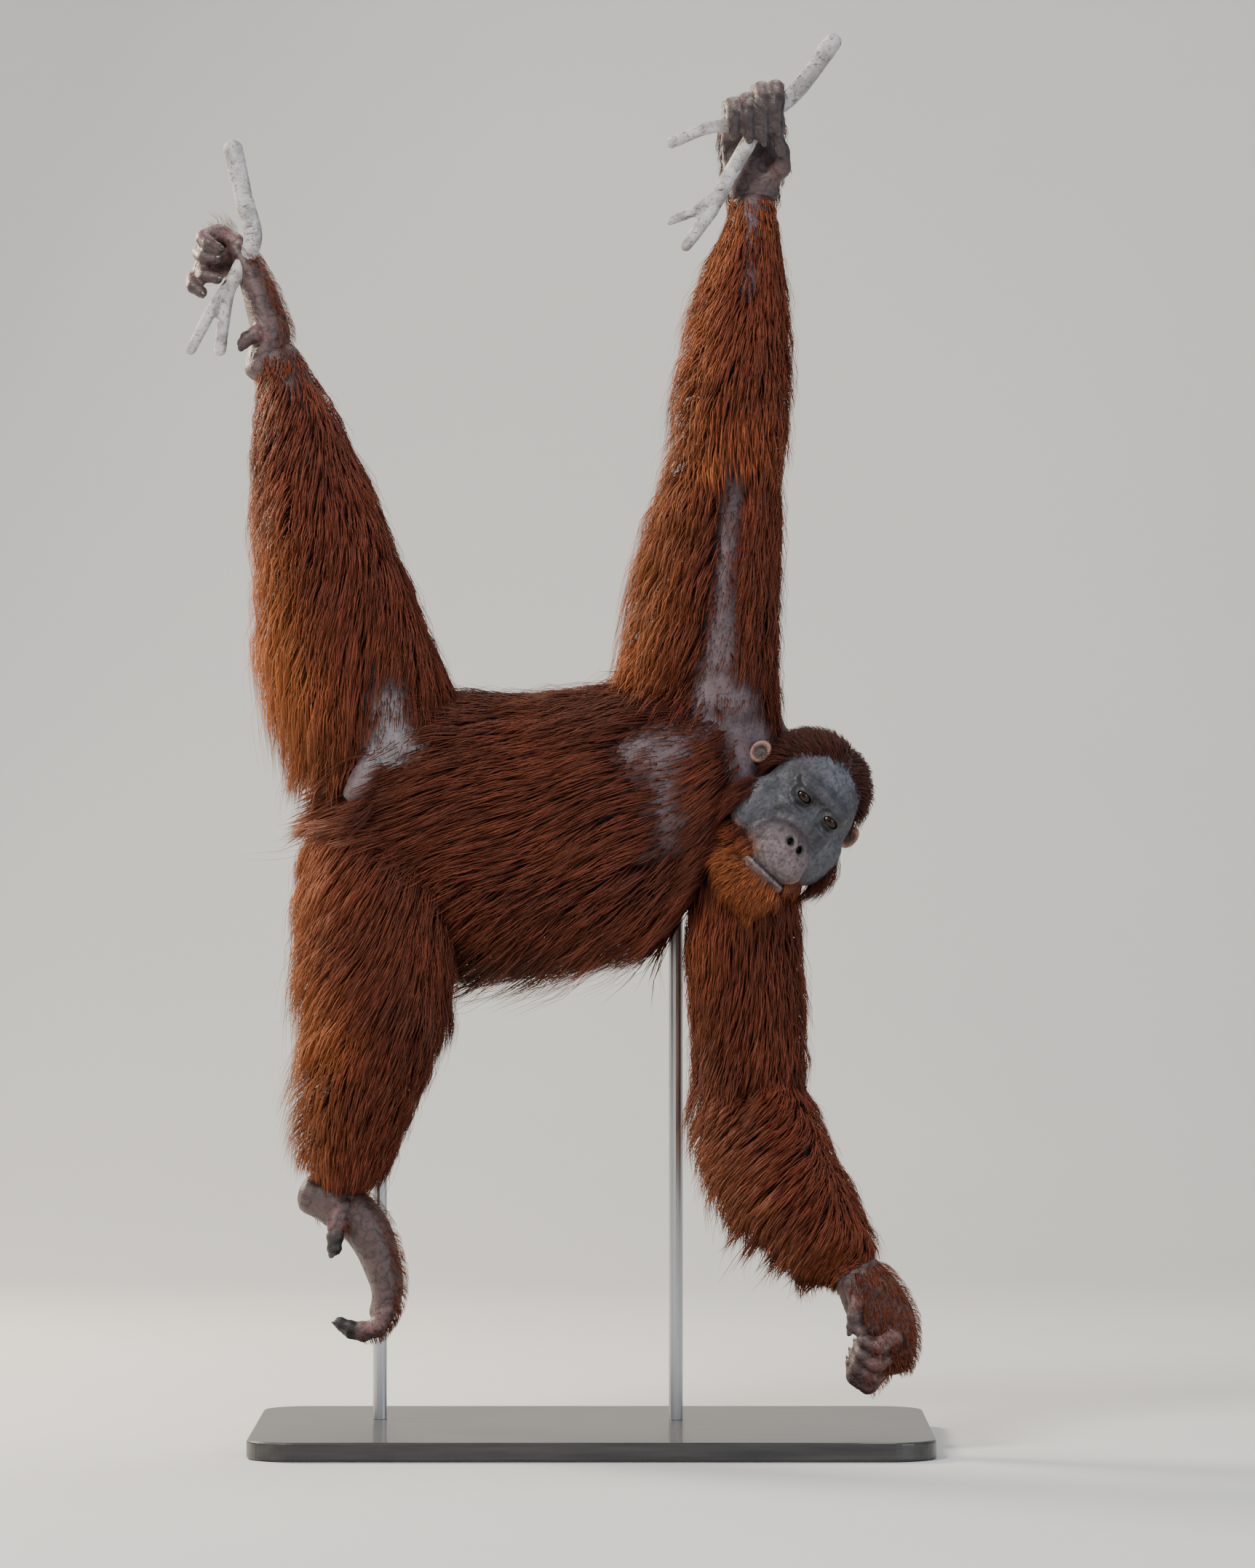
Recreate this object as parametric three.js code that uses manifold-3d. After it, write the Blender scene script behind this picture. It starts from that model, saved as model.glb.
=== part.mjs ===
// A life-size still orangutan hanging by its right hand and right foot, on a display stand.
// Millimetres, +Z up. +X is the viewer's right, -Y is towards the viewer.
// The origin is the centre of the underside of the stand's base.
import * as THREE from 'three';
import { mergeVertices } from 'three/addons/utils/BufferGeometryUtils.js';
import Module from 'manifold-3d';

const wasm = await Module();
wasm.setup();

// Overall places of the animal, from the middle of its trunk
const SPECIMEN_SHIFT = new THREE.Vector3(45, 0, 0);
const GAP = 0.34;

// Depth of the coat that is solid under the locks, as a share of its full depth
const CORE_SHARE = 0.5;
const LOCK_SINK = 9;
const LOCK_THICK = 9;
const LOCK_RINGS = 3;
const LOCK_CLING = 0.7;
const LOCK_DIP = 2;
const LOCK_TAPER = (s) => (s < 0.5 ? 1 : 0.68);

// Trunk
const TRUNK_SIDES = 16;
const CHEST_SPLIT_X = -20;
const PELVIS_SPLIT_X = -195;

// Limb joints
const SHOULDER_RIGHT = [116, 0, 938];
const ELBOW_RIGHT = [138, -14, 1253];
const WRIST_RIGHT = [161, 16, 1588];
const SHOULDER_LEFT = [138, 4, 762];
const ELBOW_LEFT = [158, -4, 450];
const WRIST_LEFT = [288, -138, 222];
const HIP_RIGHT = [-296, -6, 895];
const KNEE_RIGHT = [-362, -34, 1135];
const ANKLE_RIGHT = [-447, 2, 1385];
const HIP_LEFT = [-300, 8, 792];
const KNEE_LEFT = [-292, -58, 558];
const ANKLE_LEFT = [-366, -14, 332];
const LIMB_SIDES = 12;
const LIMB_RINGS = 7;

// Head: where the point between the eyes is, how far the face rolls and turns
const BETWEEN_EYES = [239, -104, 808];
const FACE_ROLL = THREE.MathUtils.degToRad(-44);
const FACE_TURN = THREE.MathUtils.degToRad(16);
const EYE_RADIUS = 12;
const EYE_SPACING = 48;
const EYE_DEPTH = -6;
const LID_THICKNESS = 2.4;
const HEAD_DETAIL = [12, 8];
const LIP_DETAIL = [10, 6];
const EYE_DETAIL = [9, 6];
const EAR_HEIGHT = 34;

// Perch branches
const BRANCH_SIDES = 8;

// Stand
const BASE_SIZE = [860, 580, 24];
const BASE_CORNER = 60;
const ROD_RADIUS = 9;
const ROD_SIDES = 16;
const HIP_ROD = [-318, 74];
const CHEST_ROD = [62, 66];
const ROD_REACH = 815;

// Finishes
const FINISHES = {
  coat: { color: 0x6b2d18, roughness: 0.75, metalness: 0 },
  skin: { color: 0x5a4a4c, roughness: 0.6, metalness: 0 },
  face: { color: 0x3d3c44, roughness: 0.55, metalness: 0 },
  eye: { color: 0x24160f, roughness: 0.12, metalness: 0 },
  bark: { color: 0xcfc8c2, roughness: 0.85, metalness: 0 },
  base: { color: 0x2b2b2d, roughness: 0.5, metalness: 0 },
  rod: { color: 0x8d8f92, roughness: 0.35, metalness: 1 },
};

const vec = (p) => new THREE.Vector3(p[0], p[1], p[2]);
const mix = (a, b, s) => a.map((value, i) => value + (b[i] - value) * s);

// A closed geometry as a manifold solid
function solid(geometry) {
  const bare = geometry.clone();
  bare.deleteAttribute('normal');
  bare.deleteAttribute('uv');
  const merged = mergeVertices(bare, 1e-4);
  return new wasm.Manifold(new wasm.Mesh({
    numProp: 3,
    vertProperties: new Float32Array(merged.attributes.position.array),
    triVerts: new Uint32Array(merged.index.array),
  }));
}

// A manifold solid as a geometry, keeping only its largest closed surface
function geometryOf(shape) {
  const pieces = shape.decompose();
  pieces.sort((a, b) => Math.abs(b.volume()) - Math.abs(a.volume()));
  const mesh = pieces[0].getMesh();
  const geometry = new THREE.BufferGeometry();
  geometry.setAttribute('position', new THREE.BufferAttribute(mesh.vertProperties, 3));
  geometry.setIndex(new THREE.BufferAttribute(mesh.triVerts, 1));
  return geometry;
}

const joined = (shapes) => shapes.reduce((sum, shape) => sum.add(shape));
const cutBy = (shape, tools) => tools.reduce((rest, tool) => rest.subtract(tool), shape);

// A rounded body along stations. Each station is [place, side radius, depth radius, coat].
// The coat is its depth [left, right, front, back] as seen while travelling along the body.
class Loft {
  constructor(stations, { sides = LIMB_SIDES, rings = LIMB_RINGS, share = CORE_SHARE, cap = 0.6,
    capRings = 2 } = {}) {
    this.sides = sides;
    this.rings = rings;
    this.share = share;
    this.cap = cap;
    this.capRings = capRings;
    this.path = new THREE.CatmullRomCurve3(stations.map((s) => vec(s[0])), false, 'centripetal');
    this.rows = stations.map((s) => [s[1], s[2], ...(s[3] ?? [0, 0, 0, 0])]);
  }

  // Radii and coat at t, smooth between the stations
  row(t) {
    const last = this.rows.length - 1;
    const place = Math.min(Math.max(t, 0), 1) * last;
    const i = Math.min(Math.floor(place), last - 1);
    const s = place - i;
    return mix(this.rows[i], this.rows[i + 1], s * s * (3 - 2 * s) * 0.5 + s * 0.5);
  }

  // Centre and the travelling axes: to the left of travel, and away from the viewer
  frame(t) {
    const clamped = Math.min(Math.max(t, 0), 1);
    const centre = this.path.getPoint(clamped);
    const along = this.path.getTangent(clamped);
    const depth = new THREE.Vector3(0, 1, 0).addScaledVector(along, -along.y).normalize();
    const left = new THREE.Vector3().crossVectors(along, depth).normalize();
    return { centre, along, depth, left };
  }

  // A point of the surface, grown by extra, at t along and at a turn round it
  point(t, turn, extra = 0, share = this.share, squeeze = 1) {
    const { centre, depth, left } = this.frame(t);
    const [side, deep, coatLeft, coatRight, coatFront, coatBack] = this.row(t);
    const c = Math.cos(turn);
    const s = Math.sin(turn);
    const coat = share * ((c > 0 ? coatLeft : coatRight) * c * c + (s > 0 ? coatBack : coatFront) * s * s);
    return centre
      .addScaledVector(left, c * (side + coat + extra) * squeeze)
      .addScaledVector(depth, s * (deep + coat + extra) * squeeze);
  }

  geometry(extra = 0, share = this.share) {
    const geometry = new THREE.SphereGeometry(1, this.sides, this.rings);
    const position = geometry.attributes.position;
    const capShare = this.capRings / this.rings;
    const first = this.row(0);
    const end = this.row(1);
    for (let i = 0; i < position.count; i += 1) {
      const polar = Math.acos(THREE.MathUtils.clamp(position.getY(i), -1, 1)) / Math.PI;
      const turn = Math.atan2(position.getZ(i), position.getX(i));
      const edge = Math.min(polar, 1 - polar);
      const bend = edge < capShare ? (edge / capShare) * Math.PI / 2 : Math.PI / 2;
      const t = THREE.MathUtils.clamp((polar - capShare) / (1 - 2 * capShare), 0, 1);
      const point = this.point(t, -turn, extra, share, Math.sin(bend));
      const radii = polar < 0.5 ? first : end;
      const reach = Math.cos(bend) * (this.cap * Math.min(radii[0], radii[1]) + extra);
      point.addScaledVector(this.frame(t).along, polar < 0.5 ? -reach : reach);
      position.setXYZ(i, point.x, point.y, point.z);
    }
    return geometry;
  }

  body(extra = 0, share = this.share) {
    const shape = solid(this.geometry(extra, share));
    if (shape.volume() < 0) throw new Error('a loft is inside out');
    return shape;
  }
}

// A digit or small tube: points and radii along it
function digit(points, radii, { sides = 6, rings = 6 } = {}) {
  const stations = points.map((p, i) => [p, radii[i], radii[i]]);
  return new Loft(stations, { sides, rings, share: 0, cap: 0.9, capRings: 1 });
}

// Repeatable random numbers between 0 and 1
function randomFrom(seed) {
  let state = seed;
  return () => {
    state = (state * 1664525 + 1013904223) % 4294967296;
    return state / 4294967296;
  };
}

// One flat tapered lock of hair from root to tip, wide across the surface it grows from.
// Its root is sunk into the core, and grown makes the same lock thicker all round.
function lock({ root, out, tip, width, thick, lift = 0 }, grown = 0) {
  const half = thick / 2;
  const scale = (half + grown * 1.1) / half;
  const path = new THREE.CatmullRomCurve3([
    root.clone().addScaledVector(out, -LOCK_SINK),
    root.clone().lerp(tip, 0.3).addScaledVector(out, thick * 0.55 + lift),
    root.clone().lerp(tip, 0.66).addScaledVector(out, thick * 0.45 + lift),
    tip.clone(),
  ]);
  const geometry = new THREE.SphereGeometry(1, 4, LOCK_RINGS);
  const position = geometry.attributes.position;
  for (let i = 0; i < position.count; i += 1) {
    const s = Math.acos(THREE.MathUtils.clamp(position.getY(i), -1, 1)) / Math.PI;
    const turn = -Math.atan2(position.getZ(i), position.getX(i));
    const along = path.getTangent(s);
    const across = new THREE.Vector3().crossVectors(along, out).normalize();
    const up = new THREE.Vector3().crossVectors(across, along).normalize();
    const full = s < 0.01 || s > 0.99 ? 0 : LOCK_TAPER(s);
    const point = path.getPoint(s)
      .addScaledVector(across, Math.cos(turn) * full * (width / 2) * scale)
      .addScaledVector(up, Math.sin(turn) * (full > 0 ? 0.45 + 0.55 * full : 0) * half * scale);
    if (s > 0.99) point.addScaledVector(along, grown * 8);
    position.setXYZ(i, point.x, point.y, point.z);
  }
  const shape = solid(geometry);
  if (shape.volume() < 0) throw new Error('a lock is inside out');
  return shape;
}

// Locks spread over a loft in rows along it and columns round it
function locksOn(loft, { rows, columns, from = 0.08, to = 0.95, lie, length, seed, width = 44,
  turns = [0, Math.PI * 2] }) {
  const random = randomFrom(seed);
  const list = [];
  for (let row = 0; row < rows; row += 1) {
    for (let column = 0; column < columns; column += 1) {
      const t = from + (to - from) * ((row + 0.5 + (random() - 0.5) * 0.5) / rows);
      const share = (column + 0.5 * (row % 2) + (random() - 0.5) * 0.4) / columns;
      const turn = turns[0] + (turns[1] - turns[0]) * share;
      const root = loft.point(t, turn);
      const outer = loft.point(t, turn, 0, 1);
      const { centre } = loft.frame(t);
      const out = root.clone().sub(centre).normalize();
      const depth = outer.distanceTo(root);
      const way = vec(typeof lie === 'function' ? lie(t, turn) : lie).normalize();
      way.addScaledVector(out, -way.dot(out) * LOCK_CLING).normalize();
      const reach = length * (0.8 + random() * 0.4) * (0.65 + Math.min(depth / 60, 0.6));
      const tip = outer.clone().addScaledVector(way, reach).addScaledVector(out, -LOCK_DIP);
      const broad = width * (0.85 + random() * 0.3);
      list.push({ root, out, tip, width: broad, thick: LOCK_THICK, lift: depth * 0.25 });
    }
  }
  return list;
}

function ball(radii, at, turn = null, detail = [14, 9]) {
  const geometry = new THREE.SphereGeometry(1, detail[0], detail[1]);
  geometry.scale(radii[0], radii[1], radii[2]);
  if (turn) geometry.applyMatrix4(turn);
  geometry.translate(at[0], at[1], at[2]);
  return geometry;
}

// Trunk, from the pelvis to the shoulders. Left of travel is up.
const TRUNK = [
  [[-352, 6, 856], 74, 66, [24, 30, 26, 30]],
  [[-300, 6, 850], 104, 88, [16, 36, 16, 26]],
  [[-215, 4, 824], 122, 98, [14, 52, 18, 24]],
  [[-110, 4, 806], 136, 106, [18, 58, 20, 24]],
  [[-15, 2, 812], 142, 110, [16, 46, 14, 26]],
  [[70, 4, 838], 134, 104, [8, 30, 8, 26]],
  [[132, 10, 848], 92, 78, [6, 16, 6, 22]],
];
const trunk = new Loft(TRUNK, { sides: TRUNK_SIDES, rings: 14, cap: 0.5 });

const neck = new Loft([
  [[118, 12, 849], 74, 70, [4, 10, 4, 16]],
  [[168, 18, 842], 58, 50, [4, 10, 4, 16]],
  [[210, 2, 836], 54, 50, [4, 10, 4, 16]],
], { rings: 8 });

const upperArmRight = new Loft([
  [SHOULDER_RIGHT, 66, 62, [52, 8, 8, 18]],
  [[118, -4, 1010], 58, 56, [84, 16, 12, 24]],
  [[124, -8, 1095], 52, 52, [80, 18, 14, 24]],
  [[132, -12, 1180], 48, 48, [72, 16, 14, 24]],
  [ELBOW_RIGHT, 45, 46, [60, 16, 16, 24]],
]);

const forearmRight = new Loft([
  [ELBOW_RIGHT, 45, 46, [60, 16, 16, 24]],
  [[146, -12, 1345], 48, 46, [46, 14, 16, 22]],
  [[153, -4, 1435], 41, 38, [42, 12, 12, 20]],
  [[158, 8, 1520], 33, 29, [26, 8, 8, 16]],
  [WRIST_RIGHT, 28, 22, [12, 4, 2, 12]],
]);

const upperArmLeft = new Loft([
  [SHOULDER_LEFT, 66, 62, [10, 20, 14, 22]],
  [[144, 2, 690], 58, 56, [16, 22, 20, 24]],
  [[152, 0, 610], 54, 52, [18, 26, 18, 24]],
  [[158, -2, 530], 50, 48, [20, 30, 18, 26]],
  [ELBOW_LEFT, 47, 46, [24, 44, 20, 30]],
]);

const forearmLeft = new Loft([
  [ELBOW_LEFT, 47, 46, [24, 44, 20, 30]],
  [[190, -42, 392], 47, 46, [22, 58, 18, 30]],
  [[226, -80, 332], 40, 40, [20, 46, 16, 26]],
  [[258, -112, 276], 33, 31, [18, 26, 12, 20]],
  [WRIST_LEFT, 28, 24, [14, 10, 6, 16]],
]);

const thighRight = new Loft([
  [HIP_RIGHT, 84, 78, [34, 8, 10, 22]],
  [[-312, -16, 965], 72, 70, [62, 8, 12, 26]],
  [[-336, -28, 1050], 62, 62, [86, 10, 14, 28]],
  [KNEE_RIGHT, 52, 54, [92, 14, 14, 28]],
]);

const shankRight = new Loft([
  [KNEE_RIGHT, 52, 54, [92, 14, 14, 28]],
  [[-386, -28, 1205], 50, 50, [70, 14, 14, 28]],
  [[-412, -16, 1285], 43, 44, [36, 12, 12, 22]],
  [ANKLE_RIGHT, 30, 31, [12, 8, 6, 12]],
], { rings: 10 });

const thighLeft = new Loft([
  [HIP_LEFT, 84, 78, [8, 40, 16, 26]],
  [[-302, -14, 722], 74, 72, [12, 52, 18, 28]],
  [[-300, -38, 640], 64, 64, [14, 68, 18, 30]],
  [KNEE_LEFT, 54, 56, [14, 66, 16, 30]],
]);

const shankLeft = new Loft([
  [KNEE_LEFT, 54, 56, [14, 66, 16, 30]],
  [[-316, -50, 488], 50, 50, [14, 62, 14, 30]],
  [[-342, -32, 408], 43, 43, [14, 46, 12, 24]],
  [ANKLE_LEFT, 32, 31, [8, 26, 8, 14]],
], { rings: 10 });

// Parting planes of the trunk: half spaces as large boxes
function slab(fromX, toX) {
  const box = new THREE.BoxGeometry(toX - fromX, 2000, 4000);
  box.translate((fromX + toX) / 2, 0, 900);
  return solid(box);
}

// Hands and feet
function handRight(extra) {
  const palm = new Loft([
    [[161, 18, 1590], 31, 19],
    [[160, 22, 1622], 38, 17],
    [[160, 26, 1660], 42, 15],
    [[158, 22, 1690], 38, 13],
  ], { sides: 12, rings: 8, share: 0 });
  const fingers = [
    { x: 134, top: 1705, low: 1668 },
    { x: 153, top: 1711, low: 1664 },
    { x: 171, top: 1725, low: 1660 },
    { x: 189, top: 1727, low: 1672 },
  ].map(({ x, top, low }) => digit([
    [x + 2, 22, 1680],
    [x, 12, top - 2],
    [x, -10, top],
    [x + 1, -30, top - 18],
    [x + 2, -26, low],
  ], [10.5, 10.5, 10.5, 10, 7.5]));
  const thumb = digit([
    [180, 14, 1612], [196, 2, 1626], [197, -12, 1646], [189, -20, 1670],
  ], [13, 12, 9.5, 7.5]);
  return joined([palm, ...fingers, thumb].map((piece) => piece.body(extra)));
}

function handLeft(extra) {
  const palm = new Loft([
    [[288, -138, 224], 30, 24, [10, 4, 4, 12]],
    [[306, -146, 196], 34, 26, [16, 2, 4, 14]],
    [[322, -148, 164], 34, 24, [18, 0, 2, 14]],
    [[330, -146, 134], 28, 22, [16, 0, 2, 12]],
    [[328, -142, 110], 24, 20, [8, 0, 2, 8]],
  ], { sides: 12, rings: 8 });
  const curled = [
    [[334, -172, 150], [316, -186, 138], [298, -184, 142], [292, -172, 156]],
    [[332, -158, 126], [312, -176, 114], [294, -178, 124], [290, -166, 138]],
    [[324, -146, 108], [306, -164, 96], [288, -170, 108], [284, -160, 126]],
    [[318, -130, 100], [302, -148, 84], [284, -154, 96], [281, -150, 114]],
  ].map((points) => digit(points, [11, 11, 9.5, 7.5]));
  const thumb = digit([
    [292, -152, 212], [287, -168, 192], [284, -172, 172], [282, -172, 158],
  ], [12, 10.5, 9.5, 8.5]);
  return joined([palm, ...curled, thumb].map((piece) => piece.body(extra)));
}

function footRight(extra) {
  const sole = new Loft([
    [[-466, 8, 1366], 24, 30, [2, 6, 4, 6]],
    [[-456, 8, 1410], 26, 34, [0, 4, 4, 6]],
    [[-466, 10, 1455], 22, 34, [0, 4, 4, 6]],
    [[-484, 14, 1500], 17, 32, [0, 4, 2, 6]],
    [[-500, 18, 1524], 12, 26, [2, 6, 0, 6]],
  ], { sides: 12, rings: 9 });
  const toes = [
    [[-500, 30, 1528], [-528, 30, 1528], [-545, 14, 1520], [-538, -6, 1512], [-524, -12, 1510]],
    [[-498, 22, 1518], [-526, 24, 1512], [-543, 8, 1500], [-536, -10, 1488], [-522, -15, 1484]],
    [[-504, 24, 1500], [-530, 26, 1494], [-552, 10, 1486], [-552, -8, 1474], [-542, -14, 1466]],
    [[-500, 14, 1532], [-520, 14, 1544], [-540, -2, 1536], [-532, -14, 1528], [-522, -16, 1522]],
  ].map((points) => digit(points, [11, 11, 10.5, 9.5, 7.5]));
  const bigToe = digit([[-462, -14, 1412], [-474, -24, 1412], [-484, -26, 1406], [-489, -26, 1400]],
    [13, 11, 10, 8]);
  return joined([sole, ...toes, bigToe].map((piece) => piece.body(extra)));
}

function footLeft(extra) {
  const sole = new Loft([
    [[-404, -12, 318], 26, 28, [2, 8, 2, 4]],
    [[-372, -14, 308], 32, 32, [6, 6, 4, 6]],
    [[-334, -14, 276], 30, 36, [10, 0, 4, 6]],
    [[-314, -12, 232], 24, 36, [12, 0, 4, 6]],
    [[-306, -12, 190], 18, 34, [14, 0, 2, 4]],
    [[-314, -12, 164], 14, 32, [12, 0, 0, 2]],
  ], { sides: 12, rings: 10 });
  const toes = [-34, -19, -4, 11].map((y, i) => digit([
    [-308, y, 168 - i], [-318, y, 152 - i * 2], [-338, y, 147 - i * 3], [-354, y, 150 - i * 3],
    [-366 + i * 2, y, 156 - i * 4],
  ], [12, 11.5, 10.5, 9.5, 7.5]));
  const bigToe = digit([[-362, -38, 300], [-369, -46, 282], [-371, -50, 264], [-372, -50, 250]],
    [16, 12.5, 11, 9.5]);
  return joined([sole, ...toes, bigToe].map((piece) => piece.body(extra)));
}

// The head is built in its own axes: x towards the animal's left, y forwards, z up the face,
// from the point between the eyes.
const headRight = new THREE.Vector3(Math.cos(FACE_ROLL), 0, Math.sin(FACE_ROLL));
const headUp = new THREE.Vector3(-Math.sin(FACE_ROLL), 0, Math.cos(FACE_ROLL));
const viewer = new THREE.Vector3(0, -1, 0);
const headForward = viewer.clone().multiplyScalar(Math.cos(FACE_TURN))
  .addScaledVector(headRight, Math.sin(FACE_TURN));
const headSide = headRight.clone().multiplyScalar(Math.cos(FACE_TURN))
  .addScaledVector(viewer, -Math.sin(FACE_TURN));
const HEAD = new THREE.Matrix4().makeBasis(headSide, headForward, headUp).setPosition(...BETWEEN_EYES);
// The side and forward axes make a mirrored set, so faces are turned back after the change.
function inHead(geometry) {
  const placed = geometry.clone().applyMatrix4(HEAD);
  if (HEAD.determinant() < 0) {
    const index = placed.index.array;
    for (let i = 0; i < index.length; i += 3) [index[i], index[i + 1]] = [index[i + 1], index[i]];
  }
  return placed;
}
const headPlace = (p) => vec(p).applyMatrix4(HEAD).toArray();

const HEAD_FORMS = [
  { name: 'face', radii: [66, 36, 62], at: [0, -43, -2], coat: 0 },
  { name: 'crown hair', radii: [66, 66, 60], at: [0, -90, 22], coat: 12 },
  { name: 'jaw muscles', radii: [60, 46, 50], at: [0, -56, -70], coat: 6 },
  { name: 'right cheek', radii: [36, 26, 46], at: [-45, -32, -46], coat: 0 },
  { name: 'left cheek', radii: [36, 26, 46], at: [45, -32, -46], coat: 0 },
  { name: 'brow', radii: [47, 17, 12], at: [0, -9, 17], coat: 0 },
  { name: 'middle face', radii: [36, 34, 40], at: [0, -24, -30], coat: 0 },
  { name: 'muzzle', radii: [43, 42, 40], at: [0, 6, -74], coat: 0 },
  { name: 'upper lip', radii: [41, 24, 23], at: [0, 25, -81], coat: 0 },
  { name: 'lower lip', radii: [37, 20, 12], at: [0, 20, -108], coat: 0 },
  { name: 'chin', radii: [41, 34, 27], at: [0, -4, -119], coat: 6 },
];

function headForms(extra, share = CORE_SHARE) {
  return HEAD_FORMS.map(({ radii, at, coat }) => {
    const grown = radii.map((r) => r + coat * share + extra);
    return solid(inHead(ball(grown, at, null, radii[2] > 40 ? HEAD_DETAIL : LIP_DETAIL)));
  });
}

function eyes() {
  return [-1, 1].map((side) => ({ side, at: headPlace([side * EYE_SPACING / 2, EYE_DEPTH, 0]) }));
}

const beard = new Loft([
  [headPlace([0, -34, -112]), 50, 32],
  [headPlace([0, -24, -134]), 44, 28],
  [headPlace([0, -22, -148]), 28, 20],
], { sides: 10, rings: 6, share: 0 });

function head() {
  const round = (radius, at) => solid(ball([radius, radius, radius], at, null, EYE_DETAIL));
  const flat = (radii, at, detail) => solid(inHead(ball(radii, at, null, detail)));
  const lids = eyes().map(({ at }) => round(EYE_RADIUS + LID_THICKNESS, at));
  const shape = joined([...headForms(0), ...lids, beard.body()]);
  const sockets = eyes().map(({ at }) => round(EYE_RADIUS + GAP, at));
  const slits = [-1, 1].map((side) => {
    const at = [side * EYE_SPACING / 2, EYE_DEPTH + 12, 0];
    return flat([11, 12, 5.5], at, [10, 6]);
  });
  const nostrils = [-6.5, 6.5].map((x) => flat([4, 9, 4.5], [x, 40, -53], [6, 4]));
  const mouth = flat([42, 26, 1.8], [0, 28, -100.5], [14, 4]);
  return cutBy(shape, [...sockets, ...slits, ...nostrils, mouth]);
}

function ear(side, extra) {
  const centre = [side * 80, -82, 4];
  const cup = solid(inHead(ball([9 + extra, 15 + extra, EAR_HEIGHT / 2 + extra], centre, null, [10, 8])));
  if (extra) return cup;
  const hollow = solid(inHead(ball([6, 9, 11], [side * 88, -79, 4], null, [8, 6])));
  return cup.subtract(hollow);
}

// Branches
function branchHand(extra) {
  const main = digit([[262, -10, 1786], [208, -10, 1716], [172, -12, 1692], [140, -12, 1680],
    [104, -14, 1676], [56, -16, 1656]], [12, 11, 11, 9, 8, 7.5], { sides: BRANCH_SIDES, rings: 9 });
  const fork = digit([[176, -12, 1694], [156, -14, 1660], [128, -18, 1612], [108, -20, 1574],
    [74, -22, 1524]], [10, 10, 10, 10, 7.5], { sides: BRANCH_SIDES, rings: 9 });
  const twig = digit([[114, -20, 1590], [90, -22, 1572], [54, -26, 1556]], [8, 7, 6],
    { sides: BRANCH_SIDES, rings: 8 });
  return joined([main, fork, twig].map((piece) => piece.body(extra)));
}

function branchFoot(extra) {
  const main = digit([[-503, -2, 1650], [-490, -2, 1590], [-477, -4, 1535], [-494, -6, 1496],
    [-508, -8, 1470], [-519, -10, 1392]], [13, 12, 12, 11, 9, 8], { sides: BRANCH_SIDES, rings: 9 });
  const fork = digit([[-500, -8, 1486], [-524, -14, 1452], [-556, -18, 1392]], [8, 8, 7],
    { sides: BRANCH_SIDES, rings: 9 });
  return joined([main, fork].map((piece) => piece.body(extra)));
}

// Stand: a flat base with round corners, and two rods that end on the body
function standBase() {
  const [long, wide, thick] = BASE_SIZE;
  const outline = new THREE.Shape();
  const x = long / 2 - BASE_CORNER;
  const y = wide / 2 - BASE_CORNER;
  outline.absarc(x, y, BASE_CORNER, 0, Math.PI / 2);
  outline.absarc(-x, y, BASE_CORNER, Math.PI / 2, Math.PI);
  outline.absarc(-x, -y, BASE_CORNER, Math.PI, 1.5 * Math.PI);
  outline.absarc(x, -y, BASE_CORNER, 1.5 * Math.PI, 2 * Math.PI);
  return new THREE.ExtrudeGeometry(outline, { depth: thick, bevelEnabled: false, curveSegments: 6 });
}

function rod([x, y], extra) {
  const bottom = BASE_SIZE[2] + GAP;
  const length = ROD_REACH - bottom;
  const geometry = new THREE.CylinderGeometry(ROD_RADIUS + extra, ROD_RADIUS + extra, length, ROD_SIDES);
  geometry.rotateX(Math.PI / 2);
  geometry.translate(x, y, bottom + length / 2);
  return solid(geometry);
}

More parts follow.
